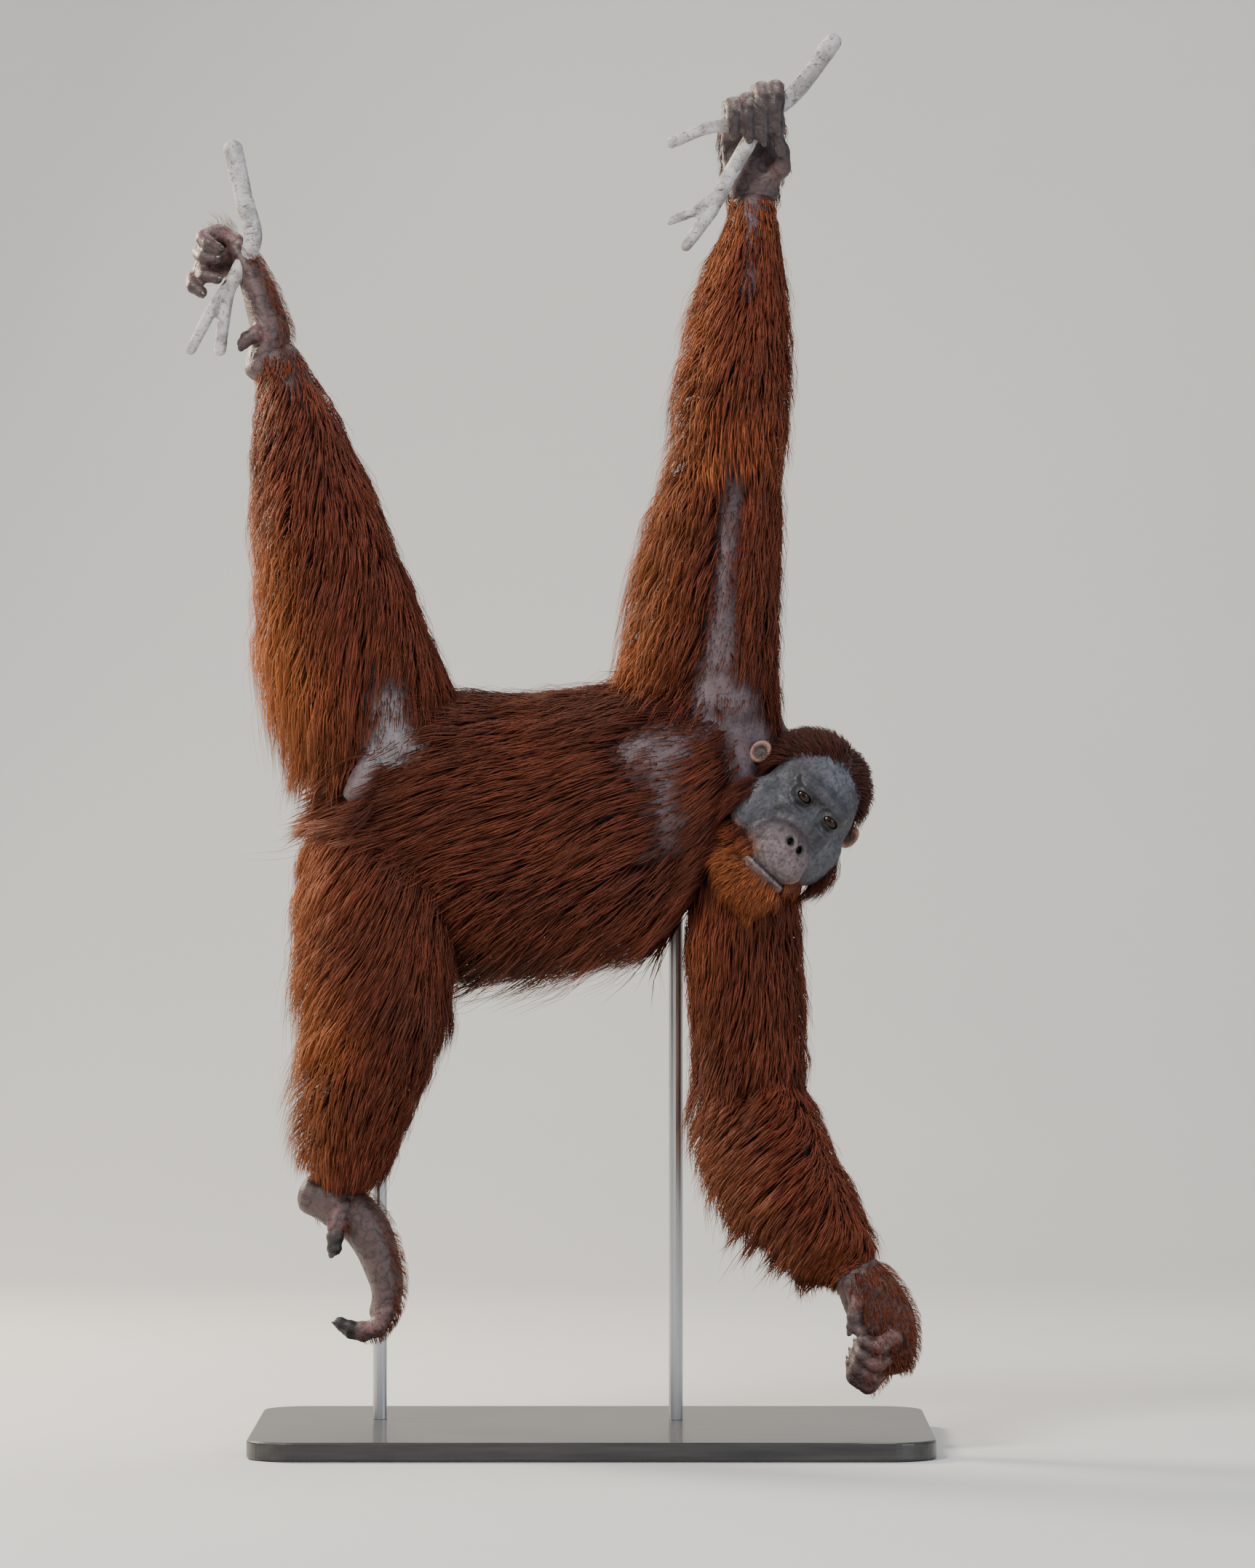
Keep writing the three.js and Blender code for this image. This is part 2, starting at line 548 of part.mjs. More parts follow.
// Locks, with the way that the hair lies on each part
const DOWN_ARM = [-0.16, 0.02, -1];
const LOCKS = {
  chest: locksOn(trunk,
    { rows: 2, columns: 6, from: 0.66, to: 0.93, lie: [-1, 0, -0.35], length: 161, seed: 11, width: 62 }),
  abdomen: locksOn(trunk,
    { rows: 2, columns: 7, from: 0.4, to: 0.62, lie: [-1, 0, -0.5], length: 168, seed: 12, width: 66 }),
  pelvis: locksOn(trunk,
    { rows: 2, columns: 7, from: 0.08, to: 0.36, lie: [-0.8, 0, -0.7], length: 147, seed: 13, width: 62 }),
  neck: locksOn(neck,
    { rows: 1, columns: 5, from: 0.1, to: 0.4, lie: [-0.8, 0, -0.5], length: 60, seed: 14 }),
  upper_arm_right: locksOn(upperArmRight,
    { rows: 3, columns: 4, from: 0.22, to: 1, lie: DOWN_ARM, length: 161, seed: 15, width: 52 }),
  forearm_right: locksOn(forearmRight,
    { rows: 3, columns: 4, from: 0.06, to: 0.92, lie: DOWN_ARM, length: 147, seed: 16, width: 50 }),
  upper_arm_left: locksOn(upperArmLeft,
    { rows: 3, columns: 4, from: 0.12, to: 0.92, lie: [-0.12, 0.02, -1], length: 154, seed: 17, width: 52 }),
  forearm_left: locksOn(forearmLeft,
    { rows: 3, columns: 5, from: 0.08, to: 0.92, lie: [-0.5, 0.2, -0.8], length: 84, seed: 18 }),
  thigh_right: locksOn(thighRight,
    { rows: 2, columns: 6, from: 0.15, to: 1, lie: [-0.1, 0.05, -1], length: 161, seed: 19 }),
  shank_right: locksOn(shankRight,
    { rows: 2, columns: 5, from: 0.06, to: 0.85, lie: [-0.06, 0.04, -1], length: 147, seed: 20 }),
  thigh_left: locksOn(thighLeft,
    { rows: 3, columns: 4, from: 0.2, to: 0.95, lie: [-0.3, 0.05, -1], length: 161, seed: 21, width: 52 }),
  shank_left: locksOn(shankLeft,
    { rows: 3, columns: 4, from: 0.04, to: 0.9, lie: [-0.34, 0.05, -1], length: 116, seed: 22, width: 50 }),
  head: [...crownLocks(), ...beardLocks()],
};

// Hair of the crown lies back over the head, and the beard hangs from the chin and cheeks.
function headLock(from, towards, tip, width) {
  const root = vec(headPlace(from));
  const out = root.clone().sub(vec(headPlace(towards))).normalize();
  return { root, out, tip: vec(headPlace(tip)), width, thick: LOCK_THICK * 0.7 };
}

function crownLocks() {
  const list = [];
  const centre = [0, -90, 22];
  for (let row = 0; row < 2; row += 1) {
    for (let i = 0; i < 4; i += 1) {
      const turn = -1.05 + (2.1 * (i + 0.5 * row)) / 3.5;
      const rise = row === 0 ? 0.98 : 0.5;
      const at = (radius, tilt) => [
        centre[0] + Math.sin(turn) * radius,
        centre[1] + Math.cos(turn) * Math.sin(tilt) * radius,
        centre[2] + Math.cos(turn) * Math.cos(tilt) * radius,
      ];
      list.push(headLock(at(68, rise - 0.2), centre, at(80, rise - 1.2), 46));
    }
  }
  return list;
}

function beardLocks() {
  const list = [];
  for (let i = 0; i < 5; i += 1) {
    const turn = -1.2 + (2.4 * i) / 4;
    const x = Math.sin(turn);
    const y = Math.cos(turn);
    list.push(headLock([x * 48, -30 + y * 26, -128], [0, -30, -118], [x * 46, -34 + y * 30, -172 - y * 8], 36));
    list.push(headLock([x * 54, -48 + y * 20, -78], [0, -50, -60], [x * 64, -52 + y * 16, -132], 38));
  }
  return list;
}

// Parts of the trunk, clear of each other by thin cuts
const groin = new Loft([
  [[-316, -66, 858], 28, 26], [[-336, -84, 836], 23, 22], [[-346, -90, 822], 18, 17],
], { sides: 10, rings: 7, share: 0 });
const FAR = 900;
const trunkPart = (from, to) => (extra) => trunk.body(extra).intersect(slab(from - extra, to + extra));

// Each node as a function of how much it is grown, in the order in which one is fitted round another
const ORDER = [
  ['chest', trunkPart(CHEST_SPLIT_X + GAP / 2, FAR)],
  ['abdomen', trunkPart(PELVIS_SPLIT_X + GAP / 2, CHEST_SPLIT_X - GAP / 2)],
  ['pelvis', (extra) => trunkPart(-FAR, PELVIS_SPLIT_X - GAP / 2)(extra).add(groin.body(extra))],
  ['neck', (extra) => neck.body(extra)],
  ['upper_arm_right', (extra) => upperArmRight.body(extra)],
  ['upper_arm_left', (extra) => upperArmLeft.body(extra)],
  ['forearm_right', (extra) => forearmRight.body(extra)],
  ['forearm_left', (extra) => forearmLeft.body(extra)],
  ['thigh_right', (extra) => thighRight.body(extra)],
  ['thigh_left', (extra) => thighLeft.body(extra)],
  ['shank_right', (extra) => shankRight.body(extra)],
  ['shank_left', (extra) => shankLeft.body(extra)],
  ['head', (extra) => (extra ? joined([...headForms(extra), beard.body(extra)]) : head())],
  ['ear_right', (extra) => ear(-1, extra)],
  ['ear_left', (extra) => ear(1, extra)],
  ['branch_hand', branchHand],
  ['branch_foot', branchFoot],
  ['hand_right', handRight],
  ['hand_left', handLeft],
  ['foot_right', footRight],
  ['foot_left', footLeft],
  ['stand_rod_hip', (extra) => rod(HIP_ROD, extra)],
  ['stand_rod_chest', (extra) => rod(CHEST_ROD, extra)],
];

const reachOf = (shape) => {
  const { min, max } = shape.boundingBox();
  return new THREE.Box3(vec(min), vec(max));
};
const near = (a, b) => a.box.intersectsBox(b.box);

const parts = ORDER.map(([name, make]) => {
  const clear = make(GAP);
  const locks = LOCKS[name] ?? [];
  const lockShapes = locks.map((item) => lock(item));
  const lockClear = locks.length ? joined(locks.map((item) => lock(item, GAP))) : null;
  const box = reachOf(lockClear ? clear.add(lockClear) : clear);
  return { name, core: make(0), clear, lockShapes, lockClear, box };
});

// A node's core is cut clear of the cores before it, and its locks of every other core and
// of the locks before it.
function nodeShape(index) {
  const part = parts[index];
  const others = parts.filter((other) => other !== part && near(part, other));
  const before = others.filter((other) => parts.indexOf(other) < index);
  const core = cutBy(part.core, before.map((other) => other.clear));
  if (!part.lockShapes.length) return core;
  const cores = others.map((other) => other.clear);
  const earlierLocks = before.map((other) => other.lockClear).filter(Boolean);
  return core.add(cutBy(joined(part.lockShapes), [...cores, ...earlierLocks]));
}

const finishOf = (name) => {
  if (name === 'head') return 'face';
  if (name.startsWith('branch')) return 'bark';
  if (name.startsWith('stand_rod')) return 'rod';
  return /^(hand|foot|ear)/.test(name) ? 'skin' : 'coat';
};

const specimen = new THREE.Group();
specimen.position.copy(SPECIMEN_SHIFT);

function addNode(group, name, geometry, finish) {
  const mesh = new THREE.Mesh(geometry, new THREE.MeshStandardMaterial(FINISHES[finish]));
  mesh.name = name;
  group.add(mesh);
}

parts.forEach(({ name }, index) => addNode(specimen, name, geometryOf(nodeShape(index)), finishOf(name)));
for (const { side, at } of eyes()) {
  const radii = [EYE_RADIUS, EYE_RADIUS, EYE_RADIUS];
  addNode(specimen, side < 0 ? 'eye_right' : 'eye_left', ball(radii, at, null, EYE_DETAIL), 'eye');
}

const group = new THREE.Group();
group.add(specimen);
addNode(group, 'stand_base', standBase(), 'base');

export default group;
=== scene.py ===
"""A still orangutan hanging by its right hand and right foot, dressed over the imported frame."""
import math

import bmesh
import bpy
import numpy as np
from mathutils import Matrix, Vector, noise
from mathutils.bvhtree import BVHTree
from mathutils.kdtree import KDTree


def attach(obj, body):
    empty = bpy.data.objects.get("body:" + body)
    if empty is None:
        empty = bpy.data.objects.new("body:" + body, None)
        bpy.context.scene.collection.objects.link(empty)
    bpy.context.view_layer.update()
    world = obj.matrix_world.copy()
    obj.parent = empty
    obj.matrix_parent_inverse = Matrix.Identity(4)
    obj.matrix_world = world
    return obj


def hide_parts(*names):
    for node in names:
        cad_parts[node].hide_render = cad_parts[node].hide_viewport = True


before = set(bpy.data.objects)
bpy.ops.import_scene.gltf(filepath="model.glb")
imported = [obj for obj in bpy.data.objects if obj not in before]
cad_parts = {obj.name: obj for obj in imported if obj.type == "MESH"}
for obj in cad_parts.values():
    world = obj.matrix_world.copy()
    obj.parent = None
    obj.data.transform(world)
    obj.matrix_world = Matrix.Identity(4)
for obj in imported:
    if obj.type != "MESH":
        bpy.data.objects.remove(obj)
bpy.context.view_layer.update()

bl_info = {
    "name": "Hanging Orangutan",
    "version": (1, 0, 0),
    "blender": (4, 5, 0),
    "location": "3D View > Sidebar > Orangutan",
    "description": "Skin, coat, eyes, perches and stand of a life-size hanging orangutan",
    "category": "Object",
}

# Places are written in millimetres from the middle of the trunk, as in the part, and turned to
# metres in the frame.
MM = 0.001
SPECIMEN_SHIFT = np.array([45.0, 0.0, 0.0])

ELBOW_RIGHT = (138, -14, 1253)
WRIST_RIGHT = (161, 16, 1588)
ELBOW_LEFT = (158, -4, 450)
WRIST_LEFT = (288, -138, 222)
KNEE_RIGHT = (-362, -34, 1135)
ANKLE_RIGHT = (-447, 2, 1385)
KNEE_LEFT = (-292, -58, 558)
ANKLE_LEFT = (-366, -14, 332)

# Each station is a place, side radius, depth radius and coat depth [left, right, front, back]
LIMBS = {
    "trunk": [
        ((-352, 6, 856), 74, 66, (24, 30, 26, 30)),
        ((-300, 6, 850), 104, 88, (16, 36, 16, 26)),
        ((-215, 4, 824), 122, 98, (14, 52, 18, 24)),
        ((-110, 4, 806), 136, 106, (18, 58, 20, 24)),
        ((-15, 2, 812), 142, 110, (16, 46, 14, 26)),
        ((70, 4, 838), 134, 104, (8, 30, 8, 26)),
        ((132, 10, 848), 92, 78, (6, 16, 6, 22)),
    ],
    "neck": [
        ((118, 12, 849), 74, 70, (4, 10, 4, 16)),
        ((168, 18, 842), 58, 50, (4, 10, 4, 16)),
        ((210, 2, 836), 54, 50, (4, 10, 4, 16)),
    ],
    "upper_arm_right": [
        ((116, 0, 938), 66, 62, (52, 8, 8, 18)),
        ((118, -4, 1010), 58, 56, (84, 16, 12, 24)),
        ((124, -8, 1095), 52, 52, (80, 18, 14, 24)),
        ((132, -12, 1180), 48, 48, (72, 16, 14, 24)),
        (ELBOW_RIGHT, 45, 46, (60, 16, 16, 24)),
    ],
    "forearm_right": [
        (ELBOW_RIGHT, 45, 46, (60, 16, 16, 24)),
        ((146, -12, 1345), 48, 46, (46, 14, 16, 22)),
        ((153, -4, 1435), 41, 38, (42, 12, 12, 20)),
        ((158, 8, 1520), 33, 29, (26, 8, 8, 16)),
        (WRIST_RIGHT, 28, 22, (12, 4, 2, 12)),
    ],
    "upper_arm_left": [
        ((138, 4, 762), 66, 62, (10, 20, 14, 22)),
        ((144, 2, 690), 58, 56, (16, 22, 20, 24)),
        ((152, 0, 610), 54, 52, (18, 26, 18, 24)),
        ((158, -2, 530), 50, 48, (20, 30, 18, 26)),
        (ELBOW_LEFT, 47, 46, (24, 44, 20, 30)),
    ],
    "forearm_left": [
        (ELBOW_LEFT, 47, 46, (24, 44, 20, 30)),
        ((190, -42, 392), 47, 46, (22, 58, 18, 30)),
        ((226, -80, 332), 40, 40, (20, 46, 16, 26)),
        ((258, -112, 276), 33, 31, (18, 26, 12, 20)),
        (WRIST_LEFT, 28, 24, (14, 10, 6, 16)),
    ],
    "thigh_right": [
        ((-296, -6, 895), 84, 78, (34, 8, 10, 22)),
        ((-312, -16, 965), 72, 70, (62, 8, 12, 26)),
        ((-336, -28, 1050), 62, 62, (86, 10, 14, 28)),
        (KNEE_RIGHT, 52, 54, (92, 14, 14, 28)),
    ],
    "shank_right": [
        (KNEE_RIGHT, 52, 54, (92, 14, 14, 28)),
        ((-386, -28, 1205), 50, 50, (70, 14, 14, 28)),
        ((-412, -16, 1285), 43, 44, (36, 12, 12, 22)),
        (ANKLE_RIGHT, 30, 31, (12, 8, 6, 12)),
    ],
    "thigh_left": [
        ((-300, 8, 792), 84, 78, (8, 40, 16, 26)),
        ((-302, -14, 722), 74, 72, (12, 52, 18, 28)),
        ((-300, -38, 640), 64, 64, (14, 68, 18, 30)),
        (KNEE_LEFT, 54, 56, (14, 66, 16, 30)),
    ],
    "shank_left": [
        (KNEE_LEFT, 54, 56, (14, 66, 16, 30)),
        ((-316, -50, 488), 50, 50, (14, 62, 14, 30)),
        ((-342, -32, 408), 43, 43, (14, 46, 12, 24)),
        (ANKLE_LEFT, 32, 31, (8, 26, 8, 14)),
    ],
}
SHOULDER = [((112, 2, 925), 60, 56), ((150, 12, 900), 52, 48), ((186, 12, 868), 42, 40)]
GROIN = [((-316, -66, 858), 28, 26), ((-336, -84, 836), 23, 22), ((-346, -90, 822), 18, 17)]

# Palms and soles as stations, digits as a path and its radii, nails at the digits' ends
PALMS = {
    "hand_right": [((161, 18, 1590), 31, 19), ((160, 22, 1622), 38, 17), ((160, 26, 1660), 42, 15),
                   ((158, 22, 1690), 38, 13)],
    "hand_left": [((288, -138, 224), 32, 25), ((306, -146, 196), 38, 28), ((322, -148, 164), 40, 27),
                  ((330, -146, 134), 34, 24), ((328, -142, 110), 26, 21)],
    "foot_right": [((-466, 8, 1366), 24, 32), ((-456, 8, 1410), 26, 36), ((-466, 10, 1455), 23, 35),
                   ((-484, 14, 1500), 18, 33), ((-500, 18, 1524), 13, 27)],
    "foot_left": [((-404, -12, 318), 26, 28), ((-372, -14, 308), 33, 33), ((-334, -14, 276), 30, 36),
                  ((-314, -12, 232), 25, 36), ((-306, -12, 190), 20, 34), ((-314, -12, 164), 16, 32)],
}
DIGITS = {
    "hand_right": [
        ([(x + 2, 22, 1680), (x, 12, top - 2), (x, -10, top), (x + 1, -30, top - 18), (x + 2, -26, low)],
         (10.5, 10.5, 10.5, 10, 7.5))
        for x, top, low in ((134, 1705, 1668), (153, 1711, 1664), (171, 1725, 1660), (189, 1727, 1672))
    ] + [([(180, 14, 1612), (196, 2, 1626), (197, -12, 1646), (189, -20, 1670)], (13, 12, 9.5, 7.5))],
    "hand_left": [
        (points, (11, 11, 9.5, 7.5)) for points in (
            [(334, -172, 150), (316, -186, 138), (298, -184, 142), (292, -172, 156)],
            [(332, -158, 126), (312, -176, 114), (294, -178, 124), (290, -166, 138)],
            [(324, -146, 108), (306, -164, 96), (288, -170, 108), (284, -160, 126)],
            [(318, -130, 100), (302, -148, 84), (284, -154, 96), (281, -150, 114)])
    ] + [([(292, -152, 212), (287, -168, 192), (284, -172, 172), (282, -172, 158)], (12, 10.5, 9.5, 8.5))],
    "foot_right": [
        (points, (11, 11, 10.5, 9.5, 7.5)) for points in (
            [(-500, 30, 1528), (-528, 30, 1528), (-545, 14, 1520), (-538, -6, 1512), (-524, -12, 1510)],
            [(-498, 22, 1518), (-526, 24, 1512), (-543, 8, 1500), (-536, -10, 1488), (-522, -15, 1484)],
            [(-504, 24, 1500), (-530, 26, 1494), (-552, 10, 1486), (-552, -8, 1474), (-542, -14, 1466)],
            [(-500, 14, 1532), (-520, 14, 1544), (-540, -2, 1536), (-532, -14, 1528), (-522, -16, 1522)])
    ] + [([(-462, -14, 1412), (-474, -24, 1412), (-484, -26, 1406), (-489, -26, 1400)], (13, 11, 10, 8))],
    "foot_left": [
        ([(-308, y, 168 - i), (-318, y, 152 - i * 2), (-338, y, 147 - i * 3), (-354, y, 150 - i * 3),
          (-366 + i * 2, y, 156 - i * 4)], (12, 11.5, 10.5, 9.5, 7.5))
        for i, y in enumerate((-34, -19, -4, 11))
    ] + [([(-362, -38, 300), (-369, -46, 282), (-371, -50, 264), (-372, -50, 250)], (16, 12.5, 11, 9.5))],
}

# Head axes: side is towards the animal's left, forward out of the face, up along the face
BETWEEN_EYES = (239, -104, 808)
FACE_ROLL = math.radians(-44)
FACE_TURN = math.radians(16)
HEAD_FORMS = [
    ((66, 68, 62), (0, -78, 20)),
    ((66, 34, 60), (0, -40, -6)),
    ((36, 26, 46), (-45, -32, -46)),
    ((36, 26, 46), (45, -32, -46)),
    ((62, 46, 50), (0, -56, -70)),
    ((47, 17, 12), (0, -9, 17)),
    ((11, 14, 30), (0, -10, -12)),
    ((36, 34, 40), (0, -24, -30)),
    ((22, 20, 13), (-25, -16, -19)),
    ((22, 20, 13), (25, -16, -19)),
    ((43, 42, 40), (0, 6, -74)),
    ((41, 24, 23), (0, 25, -81)),
    ((37, 20, 12), (0, 20, -108)),
    ((41, 34, 27), (0, -4, -119)),
]
EYE_X = 24
EYE_DEPTH = -6
EYE_RADIUS = 12

BRANCHES = {
    "branch_hand": [
        ([(262, -10, 1786), (208, -10, 1716), (172, -12, 1692), (140, -12, 1680), (104, -14, 1676),
          (56, -16, 1656)], (12, 11, 11, 9, 8, 7.5)),
        ([(176, -12, 1694), (156, -14, 1660), (128, -18, 1612), (108, -20, 1574), (74, -22, 1524)],
         (10, 10, 10, 10, 7.5)),
        ([(114, -20, 1590), (90, -22, 1572), (54, -26, 1556)], (8, 7, 6)),
    ],
    "branch_foot": [
        ([(-503, -2, 1650), (-490, -2, 1590), (-477, -4, 1535), (-494, -6, 1496), (-508, -8, 1470),
          (-519, -10, 1392)], (13, 12, 12, 11, 9, 8)),
        ([(-500, -8, 1486), (-524, -14, 1452), (-556, -18, 1392)], (8, 8, 7)),
    ],
}


def place(point):
    """A point in the part's millimetres as metres in the frame."""
    return (np.asarray(point, dtype=float) + SPECIMEN_SHIFT) * MM


def head_matrix():
    """From head millimetres (side, forward, up) to metres in the frame."""
    right = Vector((math.cos(FACE_ROLL), 0, math.sin(FACE_ROLL)))
    up = Vector((-math.sin(FACE_ROLL), 0, math.cos(FACE_ROLL)))
    viewer = Vector((0, -1, 0))
    forward = viewer * math.cos(FACE_TURN) + right * math.sin(FACE_TURN)
    side = right * math.cos(FACE_TURN) - viewer * math.sin(FACE_TURN)
    matrix = Matrix.Identity(4)
    for column, axis in enumerate((side, forward, up)):
        for row in range(3):
            matrix[row][column] = axis[row] * MM
    matrix.translation = Vector(place(BETWEEN_EYES))
    return matrix


HEAD = head_matrix()
HEAD_AXES = np.array(HEAD.to_3x3()) / MM


def in_head(points):
    """Frame metres as head millimetres, for an array of points."""
    return (np.asarray(points) - np.array(HEAD.translation)) @ HEAD_AXES / MM


class Loft:
    """A rounded body along stations, with its coat depth, as in the part."""

    SAMPLES = 97

    def __init__(self, stations, cap=0.6):
        centres = np.array([place(s[0]) for s in stations])
        rows = np.array([[s[1], s[2], *(s[3] if len(s) > 3 else (0, 0, 0, 0))] for s in stations], float) * MM
        self.t = np.linspace(0, 1, self.SAMPLES)
        self.centre = np.array([self._curve(centres, t) for t in self.t])
        along = np.gradient(self.centre, axis=0)
        self.along = along / np.linalg.norm(along, axis=1, keepdims=True)
        depth = np.array([0.0, 1.0, 0.0]) - self.along * self.along[:, 1:2]
        self.depth = depth / np.linalg.norm(depth, axis=1, keepdims=True)
        self.left = np.cross(self.along, self.depth)
        spot = self.t * (len(stations) - 1)
        i = np.minimum(spot.astype(int), len(stations) - 2)
        s = (spot - i)[:, None]
        s = s * s * (3 - 2 * s) * 0.5 + s * 0.5
        self.row = rows[i] + (rows[i + 1] - rows[i]) * s
        self.cap = cap
        self.length = float(np.linalg.norm(np.diff(self.centre, axis=0), axis=1).sum())

    @staticmethod
    def _curve(points, t):
        """Centripetal Catmull-Rom through the points."""
        last = len(points) - 1
        spot = t * last
        i = min(int(spot), last - 1)
        weight = spot - i
        p1, p2 = points[i], points[i + 1]
        p0 = points[i - 1] if i > 0 else 2 * p1 - p2
        p3 = points[i + 2] if i + 2 <= last else 2 * p2 - p1
        d0, d1, d2 = (max(np.linalg.norm(b - a), 1e-6) ** 0.5 for a, b in ((p0, p1), (p1, p2), (p2, p3)))
        m1 = ((p1 - p0) / d0 - (p2 - p0) / (d0 + d1) + (p2 - p1) / d1) * d1
        m2 = ((p2 - p1) / d1 - (p3 - p1) / (d1 + d2) + (p3 - p2) / d2) * d1
        w2, w3 = weight * weight, weight ** 3
        return (2 * w3 - 3 * w2 + 1) * p1 + (w3 - 2 * w2 + weight) * m1 + (3 * w2 - 2 * w3) * p2 + (w3 - w2) * m2

    def at(self, table, t):
        return np.stack([np.interp(t, self.t, table[:, k]) for k in range(table.shape[1])], axis=-1)

    def surface(self, t, turn, share=0.0, squeeze=1.0):
        """Points of the skin, or of the coat's tips at share 1, at t along and turn round."""
        row = self.at(self.row, t)
        c, s = np.cos(turn), np.sin(turn)
        coat = np.where(c > 0, row[..., 2], row[..., 3]) * c * c + np.where(s > 0, row[..., 5], row[..., 4]) * s * s
        side = (c * (row[..., 0] + share * coat) * squeeze)[..., None]
        deep = (s * (row[..., 1] + share * coat) * squeeze)[..., None]
        return self.at(self.centre, t) + self.at(self.left, t) * side + self.at(self.depth, t) * deep

    def mesh(self, bm, sides=24, rings=20):
        """Adds the closed body to a bmesh, shaped from a sphere."""
        made = bmesh.ops.create_uvsphere(bm, u_segments=sides, v_segments=rings, radius=1.0)["verts"]
        position = np.array([v.co for v in made])
        polar = np.arccos(np.clip(position[:, 2], -1, 1)) / math.pi
        turn = np.arctan2(position[:, 1], position[:, 0])
        share = 3 / rings
        edge = np.minimum(polar, 1 - polar)
        bend = np.minimum(edge / share, 1) * math.pi / 2
        t = np.clip((polar - share) / (1 - 2 * share), 0, 1)
        points = self.surface(t, turn, 0.0, np.sin(bend))
        ends = np.where(polar < 0.5, -min(self.row[0, :2]), min(self.row[-1, :2]))
        points += self.at(self.along, t) * (np.cos(bend) * self.cap * ends)[:, None]
        for vertex, point in zip(made, points):
            vertex.co = point
        return made


LOFTS = {name: Loft(stations) for name, stations in LIMBS.items()}


def digit_loft(path, radii):
    return Loft([(p, r, r) for p, r in zip(path, radii)], cap=0.9)


class Socket:
    """A node socket that can be written in expressions."""

    def __init__(self, tree, source):
        self.tree = tree
        self.source = source

    def _math(self, operation, *values):
        return self.tree.node("ShaderNodeMath", {"operation": operation}, {i: v for i, v in enumerate(values)})

    def __add__(self, other):
        return self._math("ADD", self, other)

    def __radd__(self, other):
        return self._math("ADD", other, self)

    def __sub__(self, other):
        return self._math("SUBTRACT", self, other)

    def __rsub__(self, other):
        return self._math("SUBTRACT", other, self)

    def __mul__(self, other):
        return self._math("MULTIPLY", self, other)

    def __rmul__(self, other):
        return self._math("MULTIPLY", other, self)

    def __pow__(self, other):
        return self._math("POWER", self, other)

    def clamped(self, low, high):
        """0 at low, 1 at high, smooth between."""
        return self.tree.node("ShaderNodeMapRange", {"interpolation_type": "SMOOTHSTEP"},
                              {"Value": self, "From Min": low, "From Max": high})


class Shader:
    """A material's node tree, with one method for any node."""

    def __init__(self, name, roughness, **fixed):
        self.material = bpy.data.materials.new(name)
        self.material.use_nodes = True
        self.nodes = self.material.node_tree.nodes
        self.links = self.material.node_tree.links
        self.principled = self.nodes["Principled BSDF"]
        self.principled.inputs["Roughness"].default_value = roughness
        for key, value in fixed.items():
            self.principled.inputs[key.replace("_", " ").title().replace("Ior", "IOR")].default_value = value

    def node(self, kind, settings=None, inputs=None, output=0):
        made = self.nodes.new(kind)
        for key, value in (settings or {}).items():
            if key == "stops":
                ramp = made.color_ramp
                while len(ramp.elements) < len(value):
                    ramp.elements.new(0.5)
                for element, (spot, colour) in zip(ramp.elements, value):
                    element.position = spot
                    element.color = (*colour, 1.0)
            else:
                setattr(made, key, value)
        for key, value in (inputs or {}).items():
            socket = made.inputs[key]
            if isinstance(value, Socket):
                self.links.new(value.source, socket)
            elif hasattr(socket.default_value, "__len__") and len(value) < len(socket.default_value):
                socket.default_value = (*value, 1.0)
            else:
                socket.default_value = value
        return Socket(self, made.outputs[output])

    def place(self):
        return self.node("ShaderNodeTexCoord", output="Object")

    def noise(self, scale, detail=4.0, roughness=0.55, vector=None):
        return self.node("ShaderNodeTexNoise", {},
                         {"Vector": vector or self.place(), "Scale": scale, "Detail": detail,
                          "Roughness": roughness}, "Fac")

    def cells(self, scale, vector=None, feature="F1"):
        return self.node("ShaderNodeTexVoronoi", {"feature": feature},
                         {"Vector": vector or self.place(), "Scale": scale}, "Distance")

    def stretched(self, scale):
        return self.node("ShaderNodeMapping", {}, {"Vector": self.place(), "Scale": scale}, "Vector")

    def attribute(self, name, output="Fac"):
        return self.node("ShaderNodeAttribute", {"attribute_name": name}, {}, output)

    def mix(self, factor, first, second, blend="MIX"):
        made = self.nodes.new("ShaderNodeMix")
        made.data_type = "RGBA"
        made.blend_type = blend
        for index, value in ((0, factor), (6, first), (7, second)):
            if isinstance(value, Socket):
                self.links.new(value.source, made.inputs[index])
            else:
                made.inputs[index].default_value = (*value, 1.0) if index else value
        return Socket(self, made.outputs[2])

    def ramp(self, value, stops):
        return self.node("ShaderNodeValToRGB", {"stops": stops}, {"Fac": value}, "Color")

    def bump(self, height, distance, strength=1.0, normal=None):
        inputs = {"Height": height, "Distance": distance, "Strength": strength}
        if normal:
            inputs["Normal"] = normal
        return self.node("ShaderNodeBump", {}, inputs, "Normal")

    def use(self, **inputs):
        for key, value in inputs.items():
            self.links.new(value.source, self.principled.inputs[key.replace("_", " ")])
        return self.material


def coat_material(sizes):
    """Hair: red-brown with the tuft's own shade, paler and more orange towards the tips and, as painted back light,
    on the side towards the back light.
    """
    shader = Shader("hair", 0.62, specular_ior_level=0.22)
    tint = shader.attribute("hair", "Color")
    patches = shader.noise(9.0, 3.0)
    base = shader.mix(patches.clamped(0.35, 0.7), (0.82, 0.8, 0.8), (1.15, 1.12, 1.1))
    colour = shader.mix(1.0, tint, base, "MULTIPLY")
    return shader.use(Base_Color=colour)


